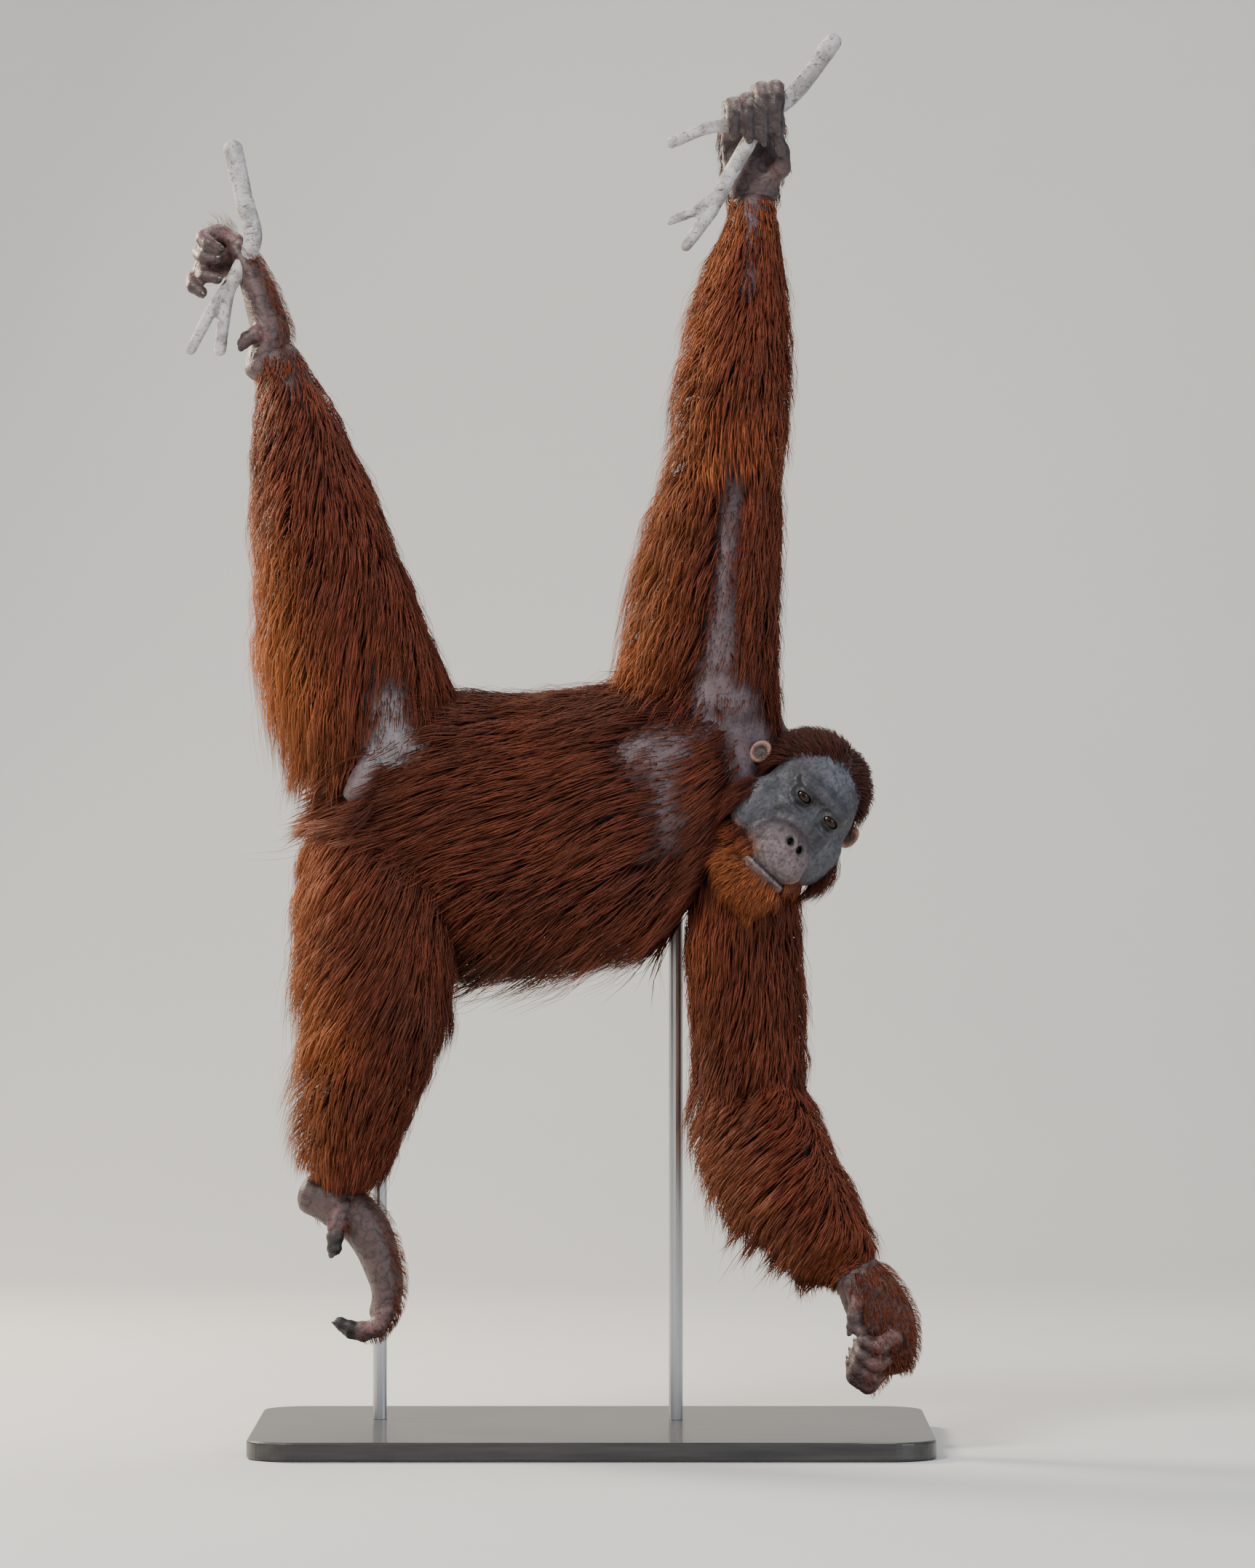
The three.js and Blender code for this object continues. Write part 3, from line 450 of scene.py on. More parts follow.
def skin_material(sizes):
    """Bare grey-violet skin, darker on palms, blue-grey on the face, mauve on the muzzle."""
    shader = Shader("bare_skin", 0.5)
    tint = shader.attribute("skin", "Color")
    mottle = shader.noise(60.0, 6.0, 0.65)
    fine = shader.noise(420.0, 3.0, 0.6)
    spots = shader.noise(230.0, 2.0, 0.5)
    shade = shader.mix(mottle.clamped(0.3, 0.7), (0.72, 0.72, 0.74), (1.24, 1.2, 1.2))
    colour = shader.mix(1.0, tint, shade, "MULTIPLY")
    colour = shader.mix(spots.clamped(0.54, 0.66) * 0.5, colour, (0.012, 0.01, 0.012))
    pits = shader.cells(430.0)
    folds = shader.noise(1.0, 5.0, 0.7, shader.stretched((260.0, 260.0, 520.0)))
    height = pits.clamped(0.05, 0.55) * 0.55 + fine * 0.5 + mottle * 0.7 + folds * 0.5
    return shader.use(Base_Color=colour, Roughness=0.40 + fine * 0.22,
                      Normal=shader.bump(height, 0.0009, 0.55))


def eye_material():
    """A dark brown eye with a brown iris ring round a black pupil."""
    shader = Shader("eye", 0.2, specular_ior_level=0.2, coat_weight=0.2, coat_roughness=0.03)
    ring = shader.attribute("ring")
    colour = shader.ramp(ring, [(0.0, (0.002, 0.0015, 0.001)), (0.13, (0.003, 0.002, 0.0015)),
                                (0.17, (0.030, 0.011, 0.004)), (0.40, (0.015, 0.006, 0.002)),
                                (0.47, (0.003, 0.002, 0.0015)), (0.60, (0.010, 0.006, 0.005)),
                                (1.0, (0.014, 0.009, 0.007))])
    return shader.use(Base_Color=colour)


def nail_material():
    shader = Shader("nail", 0.35)
    streak = shader.noise(1.0, 3.0, 0.5, shader.stretched((300.0, 300.0, 60.0)))
    colour = shader.mix(streak, (0.012, 0.010, 0.010), (0.06, 0.048, 0.045))
    return shader.use(Base_Color=colour, Normal=shader.bump(streak, 0.0004, 0.5))


def bark_material():
    """Pale smooth bark with dark specks, lenticels and grey patches."""
    shader = Shader("bark", 0.8)
    patches = shader.noise(38.0, 5.0, 0.6)
    specks = shader.noise(300.0, 5.0, 0.72)
    bands = shader.noise(1.0, 4.0, 0.6, shader.stretched((90.0, 90.0, 260.0)))
    colour = shader.mix(patches.clamped(0.38, 0.60), (0.52, 0.50, 0.50), (0.27, 0.245, 0.24))
    colour = shader.mix(bands.clamped(0.58, 0.70) * 0.6, colour, (0.09, 0.075, 0.072))
    colour = shader.mix(specks.clamped(0.57, 0.64) * 0.85, colour, (0.018, 0.015, 0.017))
    height = patches * 1.2 + specks * 0.5 - bands.clamped(0.6, 0.72) * 0.6
    return shader.use(Base_Color=colour, Normal=shader.bump(height, 0.0025, 0.9))


def lacquer_material():
    shader = Shader("lacquer", 0.4, coat_weight=0.25)
    grain = shader.noise(1.0, 6.0, 0.6, shader.stretched((6.0, 90.0, 90.0)))
    colour = shader.mix(grain.clamped(0.3, 0.75), (0.018, 0.017, 0.018), (0.045, 0.041, 0.04))
    return shader.use(Base_Color=colour, Roughness=0.34 + grain * 0.16,
                      Normal=shader.bump(grain, 0.0006, 0.4))


def steel_material():
    shader = Shader("steel", 0.3, metallic=1.0)
    brushed = shader.noise(1.0, 4.0, 0.6, shader.stretched((900.0, 900.0, 14.0)))
    colour = shader.mix(brushed, (0.42, 0.43, 0.44), (0.66, 0.67, 0.68))
    return shader.use(Base_Color=colour, Roughness=0.24 + brushed * 0.2)


def floor_material():
    """Pale and matt, and clear from behind, so that the wall hides no view of the back."""
    shader = Shader("floor", 0.75)
    soft = shader.noise(1.4, 3.0)
    behind = shader.node("ShaderNodeNewGeometry", output="Backfacing")
    surface = Socket(shader, shader.principled.outputs["BSDF"])
    clear = shader.node("ShaderNodeBsdfTransparent", output="BSDF")
    seen = shader.node("ShaderNodeMixShader", {}, {0: behind, 1: surface, 2: clear}, "Shader")
    shader.links.new(seen.source, shader.nodes["Material Output"].inputs["Surface"])
    return shader.use(Base_Color=shader.mix(soft, (0.60, 0.605, 0.60), (0.66, 0.66, 0.65)))


def new_object(name, mesh, material):
    made = bpy.data.objects.new(name, mesh)
    bpy.context.scene.collection.objects.link(made)
    if material:
        mesh.materials.append(material)
    return made


def from_bmesh(name, bm, material, smooth=True):
    mesh = bpy.data.meshes.new(name)
    bm.to_mesh(mesh)
    bm.free()
    for polygon in mesh.polygons:
        polygon.use_smooth = smooth
    return new_object(name, mesh, material)


def apply_modifiers(made):
    depsgraph = bpy.context.evaluated_depsgraph_get()
    mesh = bpy.data.meshes.new_from_object(made.evaluated_get(depsgraph))
    made.modifiers.clear()
    old = made.data
    made.data = mesh
    bpy.data.meshes.remove(old)


def remeshed(made, voxel, smoothing):
    remesh = made.modifiers.new("Remesh", "REMESH")
    remesh.mode = "VOXEL"
    remesh.voxel_size = voxel
    if smoothing:
        smooth = made.modifiers.new("Smooth", "SMOOTH")
        smooth.factor = 0.5
        smooth.iterations = smoothing
    apply_modifiers(made)


def ellipsoid(bm, radii, at, segments=32):
    """An ellipsoid of the head, in head millimetres."""
    made = bmesh.ops.create_uvsphere(bm, u_segments=segments, v_segments=segments // 2, radius=1.0)["verts"]
    for vertex in made:
        point = Vector([vertex.co[k] * radii[k] + at[k] for k in range(3)])
        vertex.co = HEAD @ point
    # The head's axes are left-handed, so its faces are turned back outwards
    bmesh.ops.reverse_faces(bm, faces=list({face for vertex in made for face in vertex.link_faces}))
    return made


def vertex_array(mesh):
    flat = np.empty(len(mesh.vertices) * 3)
    mesh.vertices.foreach_get("co", flat)
    return flat.reshape(-1, 3)


def set_vertices(mesh, points):
    mesh.vertices.foreach_set("co", np.ascontiguousarray(points).ravel())
    mesh.update()


def point_colours(mesh, name, colours):
    layer = mesh.attributes.new(name, "FLOAT_COLOR", "POINT")
    data = np.ones((len(mesh.vertices), 4), dtype=np.float32)
    data[:, :3] = colours
    layer.data.foreach_set("color", data.ravel())


def smoothstep(low, high, value):
    s = np.clip((value - low) / (high - low), 0, 1)
    return s * s * (3 - 2 * s)


def capsule_distance(points, first, second):
    """Distance in metres from points to a line between two places in the part."""
    a, b = place(first), place(second)
    axis = b - a
    s = np.clip((points - a) @ axis / (axis @ axis), 0, 1)
    return np.linalg.norm(points - (a + s[:, None] * axis), axis=1)


# Bare skin: lines along which the coat is thin, with a radius in metres and how bare they are
BARE_LINES = [
    ((136, -60, 1250), (128, -66, 1090), 0.024, 0.9),
    ((128, -66, 1090), (116, -74, 985), 0.034, 0.95),
    ((116, -74, 985), (104, -100, 915), 0.056, 1.0),
    ((150, -60, 975), (178, -60, 870), 0.050, 1.0),
    ((104, -100, 915), (24, -108, 893), 0.046, 0.85),
    ((60, -112, 880), (78, -108, 770), 0.052, 0.72),
    ((-262, -92, 915), (-300, -86, 900), 0.062, 0.97),
    ((-312, -86, 880), (-300, -86, 990), 0.040, 0.75),
    ((-350, -105, 825), (-335, -95, 845), 0.036, 1.0),
    ((163, -45, 480), (166, -50, 430), 0.020, 0.7),
    ((160, -14, 1600), (156, -40, 1480), 0.022, 0.65),
]


def bareness(points, normals):
    """How bare the skin is at each point, from 0 to 1."""
    bare = np.zeros(len(points))
    facing = smoothstep(0.15, -0.25, normals[:, 1])
    for first, second, radius, amount in BARE_LINES:
        distance = capsule_distance(points, first, second)
        bare = np.maximum(bare, amount * facing * smoothstep(radius * 1.1, radius * 0.3, distance))
    return bare


def face_mask(head):
    """1 on the bare face, 0 under the hair of crown, cheeks and beard, from head millimetres."""
    x, y, z = np.abs(head[:, 0]), head[:, 1], head[:, 2]
    upper = 1 - ((x / 63) ** 2 + ((z - 2) / 58) ** 2)
    beard_line = np.interp(x, (0, 26, 46, 76), (-101, -101, -78, -88))
    cheek = np.minimum((74 - x) / 30, (z - beard_line) / 30)
    cheek = np.minimum(cheek, (10 - z) / 30 + 0.2)
    inside = np.maximum(upper, cheek)
    return smoothstep(-0.03, 0.14, inside) * smoothstep(-66, -50, y)


class SkinSizes(bpy.types.PropertyGroup):
    voxel: bpy.props.FloatProperty(
        name="Body detail", description="Size of the body skin's mesh cells", default=0.0085,
        unit="LENGTH", subtype="DISTANCE")
    grip_voxel: bpy.props.FloatProperty(
        name="Hand detail", description="Size of the mesh cells of hands and feet", default=0.0026,
        unit="LENGTH", subtype="DISTANCE")
    head_voxel: bpy.props.FloatProperty(
        name="Head detail", description="Size of the head skin's mesh cells", default=0.0022,
        unit="LENGTH", subtype="DISTANCE")
    body_colour: bpy.props.FloatVectorProperty(
        name="Body skin", description="Bare skin of chest, groin and inner arm", default=(0.105, 0.070, 0.078),
        subtype="COLOR", min=0.0, max=1.0)
    under_colour: bpy.props.FloatVectorProperty(
        name="Skin under the coat", description="Skin seen between the tufts", default=(0.040, 0.012, 0.009),
        subtype="COLOR", min=0.0, max=1.0)
    face_colour: bpy.props.FloatVectorProperty(
        name="Face skin", description="Skin round the eyes and brow", default=(0.038, 0.038, 0.046),
        subtype="COLOR", min=0.0, max=1.0)
    muzzle_colour: bpy.props.FloatVectorProperty(
        name="Muzzle skin", description="Skin of nose, lips and chin", default=(0.125, 0.090, 0.094),
        subtype="COLOR", min=0.0, max=1.0)
    palm_colour: bpy.props.FloatVectorProperty(
        name="Palm skin", description="Skin of palms and soles", default=(0.080, 0.047, 0.046),
        subtype="COLOR", min=0.0, max=1.0)


class CoatSizes(bpy.types.PropertyGroup):
    density: bpy.props.FloatProperty(
        name="Density", description="Share of the full number of tufts", default=1.0, min=0.05, max=1.0)
    width: bpy.props.FloatProperty(
        name="Tuft width", description="Width of a tuft at its root", default=0.0020,
        unit="LENGTH", subtype="DISTANCE")
    dark: bpy.props.FloatVectorProperty(
        name="Dark hair", description="Hair of the trunk in its depth", default=(0.058, 0.0115, 0.0088),
        subtype="COLOR", min=0.0, max=1.0)
    red: bpy.props.FloatVectorProperty(
        name="Red hair", description="Hair of the limbs", default=(0.165, 0.034, 0.017),
        subtype="COLOR", min=0.0, max=1.0)
    # Orange is the beard's own colour, and also the painted back light on the fringes and on the side towards the
    # back light
    orange: bpy.props.FloatVectorProperty(
        name="Orange hair", description="Hair of fringes and beard", default=(0.50, 0.165, 0.05),
        subtype="COLOR", min=0.0, max=1.0)


def body_mesh():
    """The lofts of trunk and limbs in one mesh, ready to be made one surface."""
    bm = bmesh.new()
    for loft in LOFTS.values():
        loft.mesh(bm)
    Loft(GROIN).mesh(bm, 16, 12)
    Loft(SHOULDER).mesh(bm, 16, 12)
    return bm


def jointed(path, radii):
    """A finger or toe that swells at its joints."""
    loft = digit_loft(path, radii)
    joints = len(path) - 1
    loft.row[:, :2] *= (1.0 + 0.09 * np.cos(2 * math.pi * joints * loft.t))[:, None]
    return loft


def grip_mesh(name):
    """Palm and digits of one hand or foot."""
    bm = bmesh.new()
    Loft(PALMS[name]).mesh(bm, 28, 24)
    for path, radii in DIGITS[name]:
        jointed(path, radii).mesh(bm, 18, 30)
    return bm


def head_mesh():
    bm = bmesh.new()
    for radii, at in HEAD_FORMS:
        ellipsoid(bm, radii, at)
    return bm


def creases(points, scale):
    """1 along the lines of a net of wrinkles, 0 between them."""
    values = np.array([noise.noise(Vector(p) * scale) for p in points])
    return np.clip(1 - np.abs(values) * 7, 0, 1)


def normals_of(mesh):
    flat = np.empty(len(mesh.vertices) * 3)
    mesh.vertices.foreach_get("normal", flat)
    return flat.reshape(-1, 3)


def sculpt_face(points):
    """Moves head points to form lips, folds and brow. Points are frame metres."""
    head = in_head(points)
    x, y, z = head[:, 0], head[:, 1], head[:, 2]
    front = smoothstep(-24, -4, y)
    push = np.zeros(len(points))
    # The line of the mouth, with a full upper lip above it and a thin lower lip below
    line = -100.5 + 0.0022 * x * x
    reach = smoothstep(45, 39, np.abs(x))
    push -= 5.5 * np.exp(-((z - line) / 1.5) ** 2) * front * reach
    push += 1.6 * np.exp(-((z - line - 6) / 4.5) ** 2) * front * reach
    push += 2.0 * np.exp(-((z - line + 4.4) / 2.6) ** 2) * front * reach
    push -= 1.6 * np.exp(-((z - line + 11) / 3.2) ** 2) * front * reach
    # Nose: a low bridge, a soft tip and a raised rim round each nostril
    push += 4.0 * np.exp(-((x / 7) ** 2 + ((z + 43) / 9) ** 2)) * front
    for side in (-1, 1):
        ring = np.hypot((x - side * 8.5) / 7.5, (z + 52) / 8.0)
        push += 3.0 * np.exp(-((ring - 1.1) / 0.38) ** 2) * front
        # A fold under the eye, a crease from the nose to the cheek and one beside the mouth
        push -= 2.4 * np.exp(-(((x - side * 25) / 16) ** 2 + ((z + 13.5) / 3.2) ** 2)) * front
        push += 1.4 * np.exp(-(((x - side * 25) / 16) ** 2 + ((z + 19) / 3.6) ** 2)) * front
        bend = side * (20 + 0.0045 * (z + 30) ** 2)
        push -= 2.6 * np.exp(-((x - bend) / 2.6) ** 2) * smoothstep(-66, -56, z) * smoothstep(-30, -38, z)
    rough = np.array([noise.noise(Vector(p) * 0.09) + 0.6 * noise.noise(Vector(p) * 0.22) for p in head])
    lines = creases(head, 0.075) * smoothstep(-50, -20, y)
    push += rough * 1.2 * smoothstep(-90, -40, y) - lines ** 3 * 0.9 * (1 - 0.6 * smoothstep(-40, -60, z))
    moved = head.copy()
    moved[:, 1] += push
    return moved @ HEAD_AXES.T * MM + np.array(HEAD.translation)


def cut_with(made, cutter):
    """Boolean difference, applied, with the cutter removed."""
    boolean = made.modifiers.new("Cut", "BOOLEAN")
    boolean.operation = "DIFFERENCE"
    boolean.solver = "EXACT"
    boolean.object = cutter
    apply_modifiers(made)
    mesh = cutter.data
    bpy.data.objects.remove(cutter)
    bpy.data.meshes.remove(mesh)


def blend(colours, target, share):
    """Moves each point's colour towards the target by its share."""
    return colours + (np.asarray(target) - colours) * share[:, None]


def head_colours(head, lines, sizes):
    """Blue-grey face with a painted highlight on the forehead, mauve muzzle, a pale lower lip, and painted shade in
    the sockets, the nostrils, the mouth line between the lips and the wrinkles, from head millimetres.
    """
    x, y, z = np.abs(head[:, 0]), head[:, 1], head[:, 2]
    wander = np.array([noise.noise(Vector(p) * 0.05) for p in head])
    grain = np.array([noise.noise(Vector(p) * 0.30) for p in head])
    colours = np.tile(np.array(sizes.face_colour), (len(head), 1))
    # Painted highlight: the forehead is blended to a paler blue-grey, as if lit from above
    painted_shine = smoothstep(16, 46, z) * smoothstep(56, 16, x) * smoothstep(-64, -34, y)
    colours = blend(colours, (0.098, 0.102, 0.124), painted_shine * 0.75)
    cheek = smoothstep(26, 44, x) * smoothstep(12, -24, z) * smoothstep(-64, -40, y)
    colours = blend(colours, (0.076, 0.076, 0.090), cheek * 0.7)
    outline = np.hypot(x / 41, (z + 76) / 39) + wander * 0.14
    muzzle = smoothstep(1.42, 0.62, outline) * smoothstep(-20, 2, y)
    colours = blend(colours, sizes.muzzle_colour, muzzle)
    beard = smoothstep(-103, -112, z) * smoothstep(-60, -40, y)
    colours = blend(colours, (0.085, 0.045, 0.032), beard * 0.85)
    colours = blend(colours, (0.16, 0.075, 0.04), smoothstep(20, 36, x) * smoothstep(-70, -90, z) * 0.75)
    lip = np.exp(-((z + 103.6) / 1.3) ** 2) * smoothstep(42, 30, x) * smoothstep(0, 10, y)
    colours = blend(colours, (0.27, 0.20, 0.195), lip * (0.6 + 0.5 * grain))
    # Painted shade: the skin round each eye is darkened where the brow and socket shade it
    socket = np.hypot((x - EYE_X) / 1.35, z - 1)
    near = smoothstep(-30, -16, y)
    colours = blend(colours, (0.010, 0.010, 0.013), smoothstep(17, 8, socket) * near * 0.92)
    # Painted shade inside the nostril openings
    nostril = np.hypot((x - 8.0) * 1.15, z + 52)
    colours = blend(colours, (0.005, 0.004, 0.004), smoothstep(8.0, 4.5, nostril) * smoothstep(16, 24, y))
    # Painted shade along the mouth line between the lips
    mouth = np.exp(-((z + 100.3) / 1.2) ** 2) * smoothstep(43, 39, x) * smoothstep(-4, 8, y)
    colours = blend(colours, (0.015, 0.009, 0.009), mouth)
    colours *= (1 + 0.55 * grain + 0.35 * wander)[:, None]
    # Painted shade: darker along the wrinkles
    return colours * (1 - 0.5 * lines ** 2)[:, None]


def grip_colours(name, points, normals, lines, sizes):
    """Purple-brown palms and digits with painted shade in the creases, and paler pads."""
    colours = np.tile(np.array(sizes.palm_colour), (len(points), 1))
    side = np.array(HAIRY_SIDE[name])
    colours = blend(colours, (0.085, 0.04, 0.03), smoothstep(0.0, 0.6, normals @ side) * 0.8)
    if name != "hand_right":
        pink = np.zeros(len(points))
        for path, radii in DIGITS[name]:
            for first, second in zip(path, path[1:]):
                pink = np.maximum(pink, smoothstep(0.017, 0.011, capsule_distance(points, first, second)))
        colours = blend(colours, (0.20, 0.105, 0.10), pink * 0.6)
    tips = np.zeros(len(points))
    for path, radii in DIGITS[name]:
        tips = np.maximum(tips, smoothstep(0.020, 0.010, capsule_distance(points, path[-2], path[-1])))
    colours = blend(colours, (0.014, 0.011, 0.012), tips * (0.95 if name == "foot_left" else 0.6))
    # Painted shade: darker along the creases
    return colours * (1 - 0.6 * lines)[:, None]


# The side of each hand and foot that carries hair
HAIRY_SIDE = {
    "hand_right": (-0.2, 0.95, 0.1), "hand_left": (0.82, -0.5, 0.25),
    "foot_right": (0.9, 0.35, 0.2), "foot_left": (0.86, 0.5, 0.0),
}


def join_into(made, other):
    """Adds the other object's mesh, with its colours, to the first, and removes the other."""
    bm = bmesh.new()
    bm.from_mesh(made.data)
    bm.from_mesh(other.data)
    bm.normal_update()
    bm.to_mesh(made.data)
    bm.free()
    old = other.data
    bpy.data.objects.remove(other)
    bpy.data.meshes.remove(old)


class ORANGUTAN_OT_skin(bpy.types.Operator):
    """One skin over the whole body, with the face, lids, lips and nostrils."""
    bl_idname = "orangutan.skin"
    bl_label = "Skin"

    def execute(self, context):
        sizes = context.scene.orangutan_skin
        material = skin_material(sizes)
        body = from_bmesh("skin", body_mesh(), material)
        remeshed(body, sizes.voxel, 6)
        points, normals = vertex_array(body.data), normals_of(body.data)
        colours = np.tile(np.array(sizes.under_colour), (len(points), 1))
        colours = blend(colours, sizes.body_colour, smoothstep(0.15, 0.6, bareness(points, normals)))
        silver = capsule_distance(points, (-262, -92, 915), (-290, -86, 900))
        colours = blend(colours, (0.19, 0.17, 0.18), smoothstep(0.075, 0.035, silver))
        point_colours(body.data, "skin", colours)
        for name in PALMS:
            grip = from_bmesh(f"{name}_skin", grip_mesh(name), material)
            remeshed(grip, sizes.grip_voxel, 2)
            points, normals = vertex_array(grip.data), normals_of(grip.data)
            lines = creases(points, 62.0)
            set_vertices(grip.data, points - normals * (lines ** 2 * 0.0012)[:, None])
            point_colours(grip.data, "skin", grip_colours(name, points, normals, lines, sizes))
            join_into(body, grip)
        head = self.head(sizes, material)
        body["head_start"] = len(body.data.vertices)
        join_into(body, head)
        for polygon in body.data.polygons:
            polygon.use_smooth = True
        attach(body, "root")
        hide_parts("chest", "abdomen", "pelvis", "neck", "head", "upper_arm_right", "upper_arm_left",
                    "forearm_right", "forearm_left", "thigh_right", "thigh_left", "shank_right",
                    "shank_left", "hand_right", "hand_left", "foot_right", "foot_left")
        return {"FINISHED"}

    @staticmethod
    def head(sizes, material):
        """The head with sockets, lids, nostrils and mouth."""
        head = from_bmesh("head_skin", head_mesh(), material)
        remeshed(head, 0.0028, 18)
        bm = bmesh.new()
        bm.from_mesh(head.data)
        for side in (-1, 1):
            ellipsoid(bm, (EYE_RADIUS + 3.2, EYE_RADIUS + 2.4, EYE_RADIUS + 1.6),
                      (side * EYE_X, EYE_DEPTH, 0), 24)
            ellipsoid(bm, (17, 9, 4.5), (side * EYE_X, -1, 12), 20)
        bm.to_mesh(head.data)
        bm.free()
        remeshed(head, sizes.head_voxel, 3)
        set_vertices(head.data, sculpt_face(vertex_array(head.data)))
        cutters = bmesh.new()
        for side in (-1, 1):
            radius = EYE_RADIUS + 0.35
            ellipsoid(cutters, (radius, radius, radius), (side * EYE_X, EYE_DEPTH, 0), 24)
        cut_with(head, from_bmesh("sockets", cutters, None))
        cutters = bmesh.new()
        for side in (-1, 1):
            ellipsoid(cutters, (11.4, 12, 5.6), (side * EYE_X, EYE_DEPTH + 12, -0.3), 24)
            ellipsoid(cutters, (4.0, 10, 5.0), (side * 8.0, 42, -52.5), 16)
        cut_with(head, from_bmesh("openings", cutters, None))
        places = in_head(vertex_array(head.data))
        point_colours(head.data, "skin", head_colours(places, creases(places, 0.075), sizes))
        return head


def unit(vectors):
    return vectors / np.maximum(np.linalg.norm(vectors, axis=-1, keepdims=True), 1e-9)


class Tufts:
    """Tufts gathered as arrays, then written as meshes of closed three-sided tapered locks."""

    RINGS = 3

    def __init__(self):
        self.parts = []

    def add(self, root, normal, lie, length, lift, width, colour, tip_colour, uv, clump=0.55, wave=0.0, rng=None):
        """Arrays of one region. Hairs near each other draw together into locks towards their tips."""
        count = len(root)
        lie = unit(lie - normal * (np.sum(lie * normal, axis=1) * 0.85)[:, None])
        tip = root + lie * length[:, None] + normal * lift[:, None]
        if clump > 0 and count > 40:
            leaders = rng.choice(count, max(count // 14, 2), replace=False)
            tree = KDTree(len(leaders))
            for i, leader in enumerate(leaders):
                tree.insert(root[leader], i)
            tree.balance()
            nearest = leaders[np.array([tree.find(Vector(p))[1] for p in root])]
            share = clump * rng.uniform(0.4, 1.15, count)
            share *= smoothstep(0.045, 0.02, np.linalg.norm(root - root[nearest], axis=1))
            target = tip[nearest] + (root - root[nearest]) * 0.25
            tip = tip + (target - tip) * share[:, None]
        self.parts.append(dict(root=root, normal=normal, tip=tip, lift=lift, width=width, colour=colour,
                               tip_colour=tip_colour, uv=uv, wave=wave * rng.standard_normal((count, 2))))

    def write(self, name, material, limit=9300):
        keys = self.parts[0].keys()
        data = {key: np.concatenate([part[key] for part in self.parts]) for key in keys}
        count = len(data["root"])
        pieces = max(math.ceil(count / limit), 1)
        made = []
        for k, chosen in enumerate(np.array_split(np.arange(count), pieces)):
            label = name if pieces == 1 else f"{name}_{k + 1}"
            made.append(self._mesh(label, {key: value[chosen] for key, value in data.items()}, material))
        return made

    def _mesh(self, name, d, material):
        count = len(d["root"])
        span = d["tip"] - d["root"]
        along = unit(span)
        across = unit(np.cross(along, d["normal"]))
        up = unit(np.cross(across, along))
        reach = np.linalg.norm(span, axis=1)
        rings = self.RINGS
        s = np.linspace(0, 1, rings + 1)
        path = []
        for value in s:
            bow = math.sin(math.pi * min(value * 1.0, 1.0)) * 0.16 * reach + d["lift"] * 0.35 * math.sin(math.pi * value)
            sway = math.sin(value * 5.2) * d["wave"]
            sink = -0.003 * (1 - value) ** 3
            path.append(d["root"] + span * value + up * (bow * 0.6)[:, None] + d["normal"] * sink
                        + across * (sway[:, 0] * reach)[:, None] + up * (sway[:, 1] * reach * 0.5)[:, None])
        vertices = np.empty((count, rings * 3 + 1, 3))
        shades = np.empty((count, rings * 3 + 1, 3))
        uvs = np.empty((count, rings * 3 + 1, 2))
        for i, value in enumerate(s[:-1]):
            size = d["width"] * (1 - 0.6 * value ** 2)
            flat = across * (size * 0.5)[:, None]
            vertices[:, i * 3] = path[i] - flat
            vertices[:, i * 3 + 1] = path[i] + flat
            vertices[:, i * 3 + 2] = path[i] + up * (size * 0.26)[:, None]
            shade = d["colour"] + (d["tip_colour"] - d["colour"]) * value
            shades[:, i * 3:i * 3 + 3] = shade[:, None, :]
            for j in range(3):
                uvs[:, i * 3 + j] = d["uv"] + np.array([(j - 1) * 0.0012, (value - 0.5) * 0.003])
        vertices[:, -1] = path[-1]
        shades[:, -1] = d["tip_colour"]
        uvs[:, -1] = d["uv"] + np.array([0.0, 0.0015])
        faces = [(0, 2, 1)]
        for i in range(rings - 1):
            a, b = i * 3, i * 3 + 3
            for j in range(3):
                k = (j + 1) % 3
                faces += [(a + j, a + k, b + k), (a + j, b + k, b + j)]
        last = (rings - 1) * 3
        faces += [(last + j, last + (j + 1) % 3, rings * 3) for j in range(3)]
        faces = np.array(faces)
        every = (faces[None] + (np.arange(count) * (rings * 3 + 1))[:, None, None]).reshape(-1, 3)
        mesh = bpy.data.meshes.new(name)
        mesh.vertices.add(count * (rings * 3 + 1))
        mesh.vertices.foreach_set("co", vertices.ravel())
        mesh.loops.add(every.size)
        mesh.loops.foreach_set("vertex_index", every.ravel().astype(np.int32))
        mesh.polygons.add(len(every))
        mesh.polygons.foreach_set("loop_start", np.arange(0, every.size, 3, dtype=np.int32))
        mesh.update(calc_edges=True)
        mesh.polygons.foreach_set("use_smooth", np.ones(len(every), dtype=bool))
        layer = mesh.uv_layers.new(name="OFBake")
        layer.data.foreach_set("uv", uvs.reshape(-1, 2)[every.ravel()].ravel().astype(np.float32))
        point_colours(mesh, "hair", shades.reshape(-1, 3))
        made = new_object(name, mesh, material)
        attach(made, "root")
        return made


CHART = 0.25
CHART_FILL = 0.23


def chart(index, across, along):
    """A place on the unwrap: each body region has its own square chart."""
    corner = np.array([(index % 4) * CHART, (index // 4) * CHART]) + (CHART - CHART_FILL) / 2
    return corner + np.stack([np.clip(across, 0, 1), np.clip(along, 0, 1)], axis=-1) * CHART_FILL
